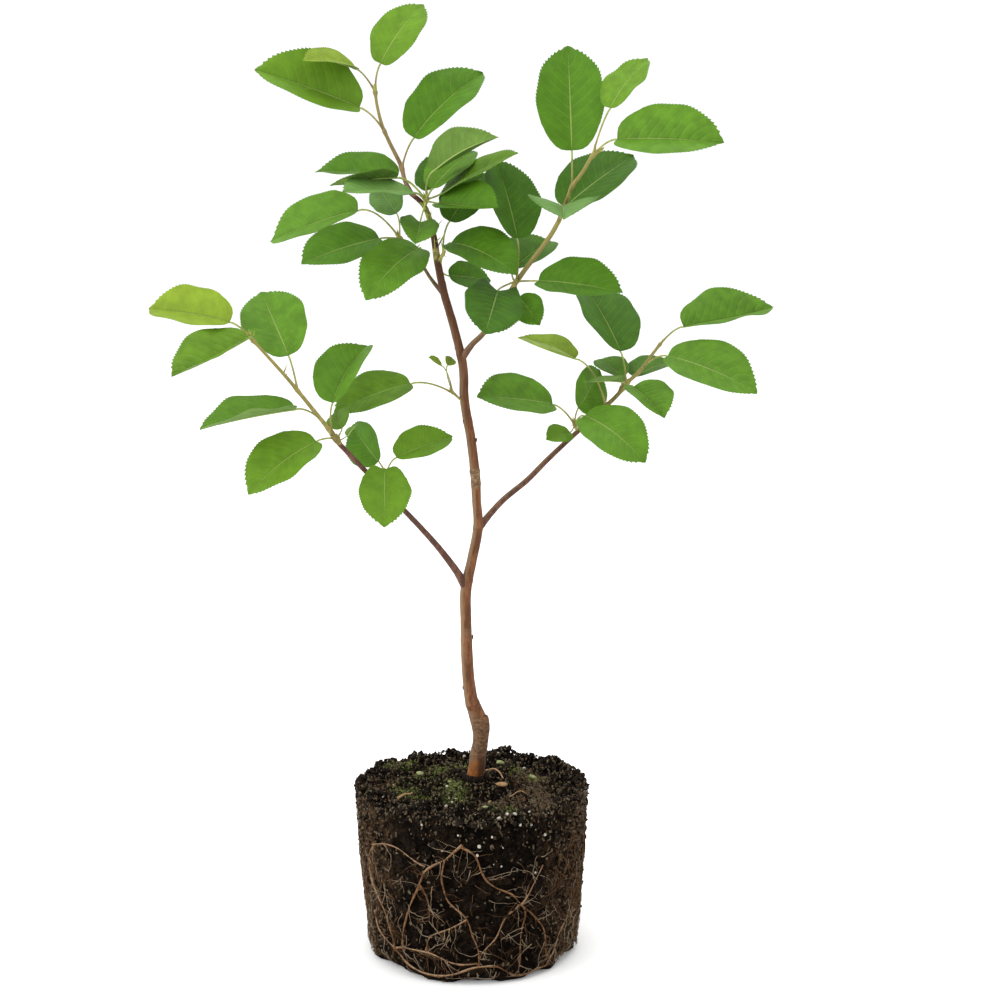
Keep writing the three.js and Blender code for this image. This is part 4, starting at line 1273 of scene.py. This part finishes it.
def stalk_path(line, leaf):
    """A leaf's stalk, which runs on under the blade as its midrib."""
    foot, neck = leaf_place(line, leaf)
    length, droop = leaf[2][0], leaf[5]
    axes = blade_axes(leaf[3])
    half = sizes().stalk_thickness / MM / 2
    own = min(1.0, 0.55 + length / 90)
    start = midrib(neck, axes, length, droop, 0)[1]
    lead = neck - start * LEAD * (neck - foot).length
    points, radii, tones = [], [], []
    steps = 10
    for step in range(steps):
        share = step / steps
        points.append(foot * (1 - share) ** 2 + lead * 2 * share * (1 - share) + neck * share**2)
        radii.append(half * own * (1.0 + 0.75 * math.exp(-share * 9) + 0.18 * share**4))
        tones.append(0.65 * share)
    for share in (0.0, 0.06, 0.15, 0.27, 0.4, 0.55, 0.7, 0.82):
        point, _, up = midrib(neck, axes, length, droop, share)
        points.append(point - up * (0.12 + 0.2 * (1 - share)))
        radii.append(half * own * (1.0 - share) * 0.9 + 0.06)
        tones.append(0.75 + 0.25 * share)
    return points, radii, tones


def fullness(share, lobes):
    """Share of a blade's greatest width at a share of its length."""
    base = share < WIDEST
    away = (WIDEST - share) / WIDEST if base else (share - WIDEST) / (1 - WIDEST)
    return max(1 - away * away, 0) ** (FULL_BASE - lobes + LOBES if base else FULL_TIP - 1.25 * lobes)


def blade_stations(length):
    """Shares along the blade with how far its edge stands out and how far ahead its point lies: smooth
    at the base, then toothed."""
    count = max(5, round(sizes().teeth * min(1.0, 0.35 + length / 75)))
    stations = [(share, 0.0, 0.0) for share in (0.0, 0.008, 0.025, 0.055, 0.1, 0.15)]
    gap = (0.99 - FIRST_TOOTH) / count
    for tooth in range(count):
        start = FIRST_TOOTH + gap * tooth
        for part, out, ahead in ((0.0, 0.0, 0.0), (0.55, 0.55, 0.1), (0.88, 1.0, 0.45)):
            stations.append((start + gap * part, out, ahead * gap))
    stations.append((1.0, 0.0, 0.0))
    return stations


def add_blade(bag, line, leaf, tints, chance):
    """Adds one leaf blade to the bag: points, faces, blade coordinates, material numbers and shades."""
    points, faces, coords, numbers, shades = bag
    own = sizes()
    neck = leaf_place(line, leaf)[1]
    length, width = leaf[2]
    fold, droop, tint = math.radians(leaf[4]), leaf[5], leaf[6]
    lobes = leaf[7] if len(leaf) > 7 else LOBES
    axes = blade_axes(leaf[3])
    right = axes[2]
    small = min(1.0, 0.4 + length / 60)
    tooth = own.tooth / MM * small
    half_thick = own.blade_thickness / MM / 2
    arch = chance.uniform(0.06, 0.2)
    waves = [
        (chance.uniform(0.9, 2.2), chance.uniform(0, math.tau), chance.uniform(0.004, 0.012))
        for _ in range(2)
    ]
    sides = [(chance.uniform(0, math.tau), chance.uniform(0, math.tau)) for _ in range(2)]
    stations = blade_stations(length)
    start = len(points)
    spots = []
    for share, out, ahead in stations:
        full = fullness(share, lobes)
        back = lobes * length * share / 0.05 * math.exp(1 - share / 0.05)
        for column in COLUMNS:
            edge = abs(column) == 1.0
            first, second = sides[column > 0]
            swell = 1 + 0.028 * math.sin(math.tau * 1.2 * share + first)
            swell += 0.017 * math.sin(math.tau * 3.1 * share + second)
            half = width / 2 * full * swell
            at = min(share + (ahead if edge else 0), 1.0)
            point, ahead_way, up = midrib(neck, axes, length, droop, at)
            point = point - ahead_way * back * column * column
            if share == 1.0:
                point = point + ahead_way * TIP * small
            outward = math.copysign(tooth * out * min(1.0, full * 2.5), column) if edge else 0.0
            reach = half * column + outward
            lift = abs(reach) * math.sin(fold) + half * arch * (abs(column) - column * column)
            for count, begin, size in waves:
                beat = math.sin(math.tau * count * share + begin * (1 if column > 0 else 2.3))
                lift += length * size * column * column * beat * min(1.0, 4 * share)
            spot = point + right * (reach * math.cos(fold)) + up * lift
            spots.append((spot, up, edge, (column, share)))
    for side in (1, -1):
        for spot, up, edge, place in spots:
            points.append((spot + up * side * half_thick * (0.45 if edge else 1.0)) * MM)
            coords.append(((place[0] + 1) / 2, place[1]))
    shades.extend([chance.random()] * (2 * len(spots)))
    wide, below = len(COLUMNS), len(spots)
    last = (len(stations) - 1) * wide
    flat, rim = [], []
    for row in range(0, last, wide):
        for column in range(wide - 1):
            a = row + column
            b, c, d = a + 1, a + 1 + wide, a + wide
            flat += [(a, b, c), (a, c, d)] if column < wide // 2 else [(a, b, d), (b, c, d)]
        right_edge = row + wide - 1
        rim += [(row + wide, row), (right_edge, right_edge + wide)]
    for column in range(wide - 1):
        rim += [(column, column + 1), (last + column + 1, last + column)]
    for corners in flat:
        faces.append(tuple(start + corner for corner in corners))
        faces.append(tuple(start + below + corner for corner in reversed(corners)))
        numbers.extend((tints[tint], tints["young" if tint == "young" else "under"]))
    for first, second in rim:
        faces.append((start + second, start + first, start + below + first, start + below + second))
        numbers.append(tints[tint])


def bud(bag, foot, heading, rise, length, seed, slim=1.0):
    """Adds a pointed bud, or a slim stipule, to the bag, lying close along its limb."""
    points, faces = bag
    along = direction(heading, rise)
    side = along.cross(Vector((0, 0, 1))).normalized()
    over = side.cross(along)
    rings = ((0.0, 0.42), (0.2, 0.56), (0.45, 0.5), (0.72, 0.3), (0.92, 0.1))
    chance = random.Random(seed)
    across = 8
    start = len(points)
    for share, wide in rings:
        for spot in range(across):
            angle = math.tau * spot / across
            radius = wide * length * slim * 0.5 * chance.uniform(0.93, 1.07)
            around = side * math.cos(angle) + over * math.sin(angle)
            points.append((foot + along * length * share + around * radius) * MM)
    points.append((foot + along * length) * MM)
    last = start + (len(rings) - 1) * across
    for ring in range(start, last, across):
        for spot in range(across):
            a, b = ring + spot, ring + (spot + 1) % across
            faces.append((a, a + across, b + across, b))
    for spot in range(across):
        faces.append((last + spot, len(points) - 1, last + (spot + 1) % across))
    faces.append(tuple(start + spot for spot in range(across)))


def bark_spot(trunk, height, heading, sunk):
    """A place on the trunk's bark, from its points and radii, a height and a heading."""
    line, radii = trunk
    index = min(range(len(line)), key=lambda spot: abs(line[spot].z - height))
    return line[index] + direction(heading, 0) * (radii[index] - sunk)


# Operators


class SAPLING_OT_soil(bpy.types.Operator):
    """Build the root ball's crumbly soil"""

    bl_idname = "sapling.soil"
    bl_label = "Soil"

    def execute(self, context):
        own = sizes()
        values = {"Crumb": own.crumb_size, "Rise": own.crumb_rise, "Material": soil_look()}
        settle(grown("soil", ball_mesh(), soil_growth(), values), "soil", "root_ball")
        return {"FINISHED"}


class SAPLING_OT_crumbs(bpy.types.Operator):
    """Strew crumbs, fibre, moss and pale grains over the soil"""

    bl_idname = "sapling.crumbs"
    bl_label = "Crumbs and Grains"

    def execute(self, context):
        own = finishes()
        looks = {
            "dark": grain_look("dark_crumb", [part * 1.3 for part in own.soil], 0.95, 0.65),
            "grey": grain_look("grey_crumb", own.soil_grey, 0.95, 0.6),
            "brown": grain_look("fibre_crumb", own.soil_light, 0.9, 0.5),
            "moss": grain_look("moss", own.moss, 0.9, 0.5),
            "pale": grain_look("pale_grain", own.grain, 0.75, 0.2),
        }
        skin, tree = ball_mesh(), scatter_growth()
        for name, (where, density, least, most, rough, seed, look) in CRUMBS.items():
            values = {
                "Where": where,
                "Density": density,
                "Least": [size * MM for size in least],
                "Most": [size * MM for size in most],
                "Rough": rough * MM,
                "Seed": seed,
                "Material": looks[look],
            }
            settle(grown(name, skin, tree, values), "soil")
        return {"FINISHED"}


class SAPLING_OT_bits(bpy.types.Operator):
    """Lay larger grains, moss lumps, husks and sticks on the soil, and crumbs round the trunk's foot"""

    bl_idname = "sapling.bits"
    bl_label = "Larger Bits"

    def execute(self, context):
        own = finishes()
        chance = random.Random(SEEDS["bits"])
        bags = {kind: ([], []) for kind in BIT_SHAPES}
        for index, (kind, x, y, size) in enumerate(TOP_BITS):
            reach = [size / 2 * share for share in BIT_SHAPES[kind]]
            centre = Vector((x, y, soil_top(x, y) + size * 0.3))
            lump(bags[kind], centre, reach, (chance.uniform(0, 180), chance.uniform(-25, 25)), index)
        for index, (turn, height, size) in enumerate(WALL_GRAINS):
            centre = on_wall(turn, height, 0.3)
            lump(bags["grain"], centre, (size / 2, size / 2.4, size / 2), (turn, 0), 100 + index)
        looks = {
            "grain": grain_look("large_grain", own.grain, 0.7, 0.1),
            "moss": grain_look("moss_lump", own.lichen, 0.9),
            "husk": grain_look("husk", own.husk, 0.7),
        }
        for kind, bag in bags.items():
            settle(bag_piece("large_" + kind, bag, looks[kind]), "soil")
        foot_x, foot_y, _, thick = TRUNK[0]
        crumbs = ([], [])
        for index in range(FOOT_CRUMBS):
            turn, size = chance.uniform(0, math.tau), chance.uniform(1.8, 4.2)
            away = thick / 2 + chance.uniform(0.3, 2.0)
            x, y = foot_x + away * math.cos(turn), foot_y + away * math.sin(turn)
            centre = Vector((x, y, soil_top(x, y) + size * 0.32))
            turns = (chance.uniform(0, 180), chance.uniform(-40, 40))
            lump(crumbs, centre, (size / 2, size / 2.4, size / 2.3), turns, 300 + index)
        dark = grain_look("foot_crumb", [part * 1.2 for part in own.soil], 0.95, 0.65)
        settle(bag_piece("foot_crumbs", crumbs, dark), "soil")
        paths = []
        for way, radius in STICKS:
            flat = [Vector((x, y, 0)) for x, y in way]
            line = [spline_point(flat, step / 14) for step in range(15)]
            line = [Vector((spot.x, spot.y, soil_top(spot.x, spot.y) + 0.9)) for spot in line]
            paths.append((line, [radius * (1.1 - 0.03 * step) for step in range(15)], 0.5))
        look = grain_look("stick", [part * 1.25 for part in own.husk], 0.7)
        settle(tubes_along("sticks", tube_growth(), paths, look, 8, 0.3 * MM, 700.0), "soil")
        return {"FINISHED"}


class SAPLING_OT_roots(bpy.types.Operator):
    """Grow the main roots over the ball's wall"""

    bl_idname = "sapling.roots"
    bl_label = "Main Roots"

    def execute(self, context):
        chance = random.Random(SEEDS["roots"])
        groups = {"front": FRONT_ROOTS, "back": back_ways(chance)}
        look, tree = root_look(), tube_growth()
        for where, ways in groups.items():
            paths = [root_path(way, thick, chance) for thick, way in ways]
            piece = tubes_along(where + "_main_roots", tree, paths, look, 10, 0.35 * MM, 420.0)
            settle(piece, "roots", where + "_roots")
        return {"FINISHED"}


class SAPLING_OT_rootlets(bpy.types.Operator):
    """Grow the fine roots matted over the ball's wall"""

    bl_idname = "sapling.rootlets"
    bl_label = "Fine Roots"

    def execute(self, context):
        chance = random.Random(SEEDS["rootlets"])
        own = finishes()
        brown = [part * 0.62 for part in own.root]
        kinds = {
            "fine_roots": (0.05, grain_look("fine_root", own.rootlet, 0.75, 0.35)),
            "brown_fine_roots": (0.4, grain_look("brown_fine_root", brown, 0.8, 0.4)),
        }
        tree = tube_growth()
        for name, (flanks, look) in kinds.items():
            paths = rootlet_paths(chance, sizes().rootlets // 2, flanks)
            settle(tubes_along(name, tree, paths, look, 5, 0.05 * MM, 600.0), "roots")
        return {"FINISHED"}


class SAPLING_OT_limbs(bpy.types.Operator):
    """Grow the bark of the trunk and of each bough"""

    bl_idname = "sapling.limbs"
    bl_label = "Trunk and Boughs"

    def execute(self, context):
        own, tree = finishes(), tube_growth()
        looks = {
            "trunk": bark_look(
                "trunk_bark",
                own.trunk_bark,
                0.4,
                toward=own.trunk_top,
                foot=own.bark_worn,
                tones=(0.62, 0.92),
                painted_highlight_share=0.75,
                bands=(
                    (own.bark_knot, 0.102, 0.132, 0.012, 0.75),
                    (own.bark_pale, 0.254, 0.265, 0.003, 0.75),
                    (own.stalk_olive, 0.374, 0.381, 0.004, 0.8),
                    (own.shoot_green, 0.388, 0.404, 0.003, 0.9),
                    (own.shoot_pink, 0.407, 0.5, 0.003, 1.0),
                ),
            ),
            "left_bough": bark_look("left_bough_bark", own.bough_bark, 0.4, painted_highlight_share=0.5),
            "right_bough": bark_look("right_bough_bark", own.bough_bark, 0.4, painted_highlight_share=0.5),
            "upper_right_bough": bark_look(
                "upper_bough_bark", own.bough_bark, 0.4, toward=own.shoot_olive, painted_highlight_share=0.5
            ),
        }
        relief = sizes().bark_relief
        x, y, z, thick = TRUNK[0]
        sunk = [(x, y, z - 2, thick)] + TRUNK
        trunk = [limb_path(sunk, 14 * (len(sunk) - 1), TRUNK_SCARS), limb_path(TRUNK_STUB, 24)]
        limbs = {"trunk": (trunk, 40, relief * 2.4)}
        for node, rows in BOUGHS.items():
            limbs[node] = ([limb_path(rows, 14 * (len(rows) - 1))], 24, relief * 1.2)
        for node, (paths, sides, rise) in limbs.items():
            piece = tubes_along(node + "_bark", tree, paths, looks[node], sides, rise, 520.0, 0.3)
            settle(piece, "bark", node)
        return {"FINISHED"}


class SAPLING_OT_shoots(bpy.types.Operator):
    """Grow the leafy shoots that carry on from the limbs"""

    bl_idname = "sapling.shoots"
    bl_label = "Shoots"

    def execute(self, context):
        own, tree = finishes(), tube_growth()
        colours = {
            "pink": own.shoot_pink,
            "olive": own.shoot_olive,
            "green": own.shoot_green,
            "brown": own.bough_bark,
        }
        for wood, colour in colours.items():
            masses = [mass for mass in MASSES.values() if mass[0] == wood]
            paths = [scarred_stem(stem, leaves) for _, stem, leaves in masses]
            look = bark_look(wood + "_shoot_bark", colour, 0.35, toward=own.shoot_olive, painted_highlight_share=0.3)
            relief = sizes().bark_relief * 0.8
            settle(tubes_along(wood + "_shoots", tree, paths, look, 16, relief, 600.0, 0.5), "bark")
        return {"FINISHED"}


class SAPLING_OT_stalks(bpy.types.Operator):
    """Grow the leaf stalks, which run on as midribs under the blades"""

    bl_idname = "sapling.stalks"
    bl_label = "Leaf Stalks"

    def execute(self, context):
        own, tree = finishes(), tube_growth()
        colours = {
            "pink": own.stalk_pink,
            "olive": own.stalk_olive,
            "green": own.stalk_green,
            "brown": own.stalk_olive,
        }
        for wood, colour in colours.items():
            paths = []
            for _, stem, leaves in [mass for mass in MASSES.values() if mass[0] == wood]:
                line = stem_run(stem)[0]
                paths += [stalk_path(line, leaf) for leaf in leaves]
            look = bark_look(wood + "_stalk_skin", colour, 0.1, toward=own.leaf_vein)
            settle(tubes_along(wood + "_leaf_stalks", tree, paths, look, 8, 0.05 * MM, 500.0), "leaves")
        return {"FINISHED"}


class SAPLING_OT_blades(bpy.types.Operator):
    """Grow the toothed leaf blades of every mass"""

    bl_idname = "sapling.blades"
    bl_label = "Leaf Blades"

    def execute(self, context):
        own = finishes()
        # Bright is painted light, blue is painted sheen and shade, and dark and deep are painted shade,
        # all copies of the leaf green
        names = ("mid", "bright", "young", "blue", "dark", "deep")
        vein = own.leaf_vein
        looks = [leaf_look(name + "_leaf", getattr(own, "leaf_" + name), vein) for name in names]
        looks.append(leaf_look("leaf_underside", own.leaf_under, vein, under=True))
        tints = {name: number for number, name in enumerate((*names, "under"))}
        chance = random.Random(SEEDS["blades"])
        for node, (_, stem, leaves) in MASSES.items():
            bag = ([], [], [], [], [])
            line = stem_run(stem)[0]
            for leaf in leaves:
                add_blade(bag, line, leaf, tints, chance)
            points, faces, coords, numbers, shades = bag
            name = node.replace("_leaves", "_blades")
            mesh = bpy.data.meshes.new(name)
            mesh.from_pydata(points, [], faces)
            keep(mesh, "shade", shades)
            layer = mesh.uv_layers.new(name="blade")
            corners = np.empty(len(mesh.loops), dtype=np.int32)
            mesh.loops.foreach_get("vertex_index", corners)
            layer.data.foreach_set("uv", np.array(coords, dtype=np.float32)[corners].ravel())
            for look in looks:
                mesh.materials.append(look)
            mesh.polygons.foreach_set("material_index", numbers)
            mesh.shade_smooth()
            mesh.set_sharp_from_angle(angle=math.radians(55))
            settle(placed(name, mesh), "leaves", node)
        return {"FINISHED"}


class SAPLING_OT_buds(bpy.types.Operator):
    """Set the buds on the trunk, at the leaf stalks and on the shoots' tips"""

    bl_idname = "sapling.buds"
    bl_label = "Buds"

    def execute(self, context):
        own = finishes()
        chance = random.Random(SEEDS["buds"])
        brown, green = ([], []), ([], [])
        trunk = spline(TRUNK, 400)
        for height, heading, length in TRUNK_BUDS:
            bud(brown, bark_spot(trunk, height, heading, 0.2), heading, 74, length, int(height))
        for height, heading, rise, length in CROWN_STIPULES:
            foot = bark_spot(trunk, height, heading, 0.3)
            bud(green, foot, heading, rise, length, int(height), 0.16)
        for number, (node, (_, stem, leaves)) in enumerate(MASSES.items()):
            line = stem_run(stem)[0]
            for count in range(STIPULES.get(node, 0)):
                foot = line[-1 - chance.randrange(len(line) // 2)]
                heading, rise = chance.uniform(0, 360), chance.uniform(5, 85)
                bud(green, foot, heading, rise, chance.uniform(3.5, 7.5), number * 90 + count, 0.22)
            small = 0.55 if is_spur(stem) else 1.0
            for at, (_, heading, rise), *_ in leaves:
                foot = point_at(line, at) + direction(heading, 0) * 0.5 * small
                foot += Vector((0, 0, 0.8 * small))
                length, seed = small * chance.uniform(1.4, 2.4), int(at)
                bud(green, foot, heading, min(rise + 25, 80), length, number * 20 + seed)
                for side in (-1, 1):
                    if chance.random() < 0.7:
                        lean = heading + side * chance.uniform(18, 60)
                        climb = min(rise + chance.uniform(10, 50), 85)
                        length = chance.uniform(2.5, 5.5)
                        bud(green, foot, lean, climb, length, number * 50 + seed, 0.28 * small)
            tip = line[-1] - line[-3]
            heading = math.degrees(math.atan2(tip.y, tip.x))
            rise = math.degrees(math.asin(tip.z / tip.length))
            length = small * chance.uniform(2.6, 3.8)
            bud(green, line[-1] - tip.normalized() * 0.4, heading, rise, length, number)
        settle(bag_piece("trunk_buds", brown, grain_look("bud_scale", own.bud, 0.55, 0.3)), "bark")
        green_scale = grain_look("green_bud_scale", own.bud_green, 0.55, 0.3)
        settle(bag_piece("shoot_buds", green, green_scale), "bark")
        return {"FINISHED"}


class SAPLING_OT_stage(bpy.types.Operator):
    """Lay the studio floor and set the lights and the camera"""

    bl_idname = "sapling.stage"
    bl_label = "Stage"

    def execute(self, context):
        scene = context.scene
        signs = ((-1, -1), (1, -1), (1, 1), (-1, 1))
        corners = [(x * FLOOR_REACH, y * FLOOR_REACH, 0) for x, y in signs]
        mesh = bpy.data.meshes.new("floor")
        mesh.from_pydata(corners, [], [(0, 1, 2, 3)])
        paint = Look("floor_paint", 0.9)
        paint.shader.inputs["Base Color"].default_value = solid(finishes().floor)
        mesh.materials.append(paint.material)
        floor = placed("floor", mesh)

        world = bpy.data.worlds.new("studio")
        world.use_nodes = True
        light = world.node_tree.nodes["Background"].inputs
        light[0].default_value = (1.0, 1.0, 1.0, 1.0)
        light[1].default_value = WORLD_LIGHT
        scene.world = world

        for name, (place, width, power) in LAMPS.items():
            lamp = bpy.data.lights.new(name, "AREA")
            lamp.shape = "DISK"
            lamp.size = width
            lamp.energy = power
            holder = placed(name, lamp)
            holder.location = place
            aim = Vector(LAMP_AIM) - Vector(place)
            holder.rotation_euler = aim.to_track_quat("-Z", "Y").to_euler()

        lens = bpy.data.cameras.new("camera")
        lens.lens = 85.0
        lens.sensor_width = 36.0
        camera = placed("camera", lens)
        camera.location = CAMERA_PLACE
        camera.rotation_euler = (math.radians(CAMERA_PITCH), 0.0, 0.0)
        scene.camera = camera
        scene.view_settings.view_transform = "Standard"
        return {"FINISHED"}


class SAPLING_PT_pieces(bpy.types.Panel):
    """The sapling's pieces, sizes and finishes"""

    bl_idname = "SAPLING_PT_pieces"
    bl_label = "Serviceberry Sapling"
    bl_space_type = "VIEW_3D"
    bl_region_type = "UI"
    bl_category = "Sapling"

    def draw(self, context):
        for operator in OPERATORS:
            self.layout.operator(operator.bl_idname)
        for group in (context.scene.sapling_sizes, context.scene.sapling_finishes):
            box = self.layout.box()
            for name in group.bl_rna.properties.keys():
                if name not in ("rna_type", "name"):
                    box.prop(group, name)


OPERATORS = (
    SAPLING_OT_stage,
    SAPLING_OT_soil,
    SAPLING_OT_crumbs,
    SAPLING_OT_bits,
    SAPLING_OT_roots,
    SAPLING_OT_rootlets,
    SAPLING_OT_limbs,
    SAPLING_OT_shoots,
    SAPLING_OT_stalks,
    SAPLING_OT_blades,
    SAPLING_OT_buds,
)
CLASSES = (SaplingSizes, SaplingFinishes, *OPERATORS, SAPLING_PT_pieces)


def register():
    """Registers the add-on's classes and settings."""
    for kind in CLASSES:
        bpy.utils.register_class(kind)
    bpy.types.Scene.sapling_sizes = PointerProperty(type=SaplingSizes)
    bpy.types.Scene.sapling_finishes = PointerProperty(type=SaplingFinishes)


def unregister():
    """Removes the add-on's classes and settings."""
    del bpy.types.Scene.sapling_finishes
    del bpy.types.Scene.sapling_sizes
    for kind in reversed(CLASSES):
        bpy.utils.unregister_class(kind)


def main():
    """Builds every piece in order."""
    register()
    bpy.ops.sapling.stage()
    bpy.ops.sapling.soil()
    bpy.ops.sapling.crumbs()
    bpy.ops.sapling.bits()
    bpy.ops.sapling.roots()
    bpy.ops.sapling.rootlets()
    bpy.ops.sapling.limbs()
    bpy.ops.sapling.shoots()
    bpy.ops.sapling.stalks()
    bpy.ops.sapling.blades()
    bpy.ops.sapling.buds()
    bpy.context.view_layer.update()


if __name__ == "__main__":
    main()
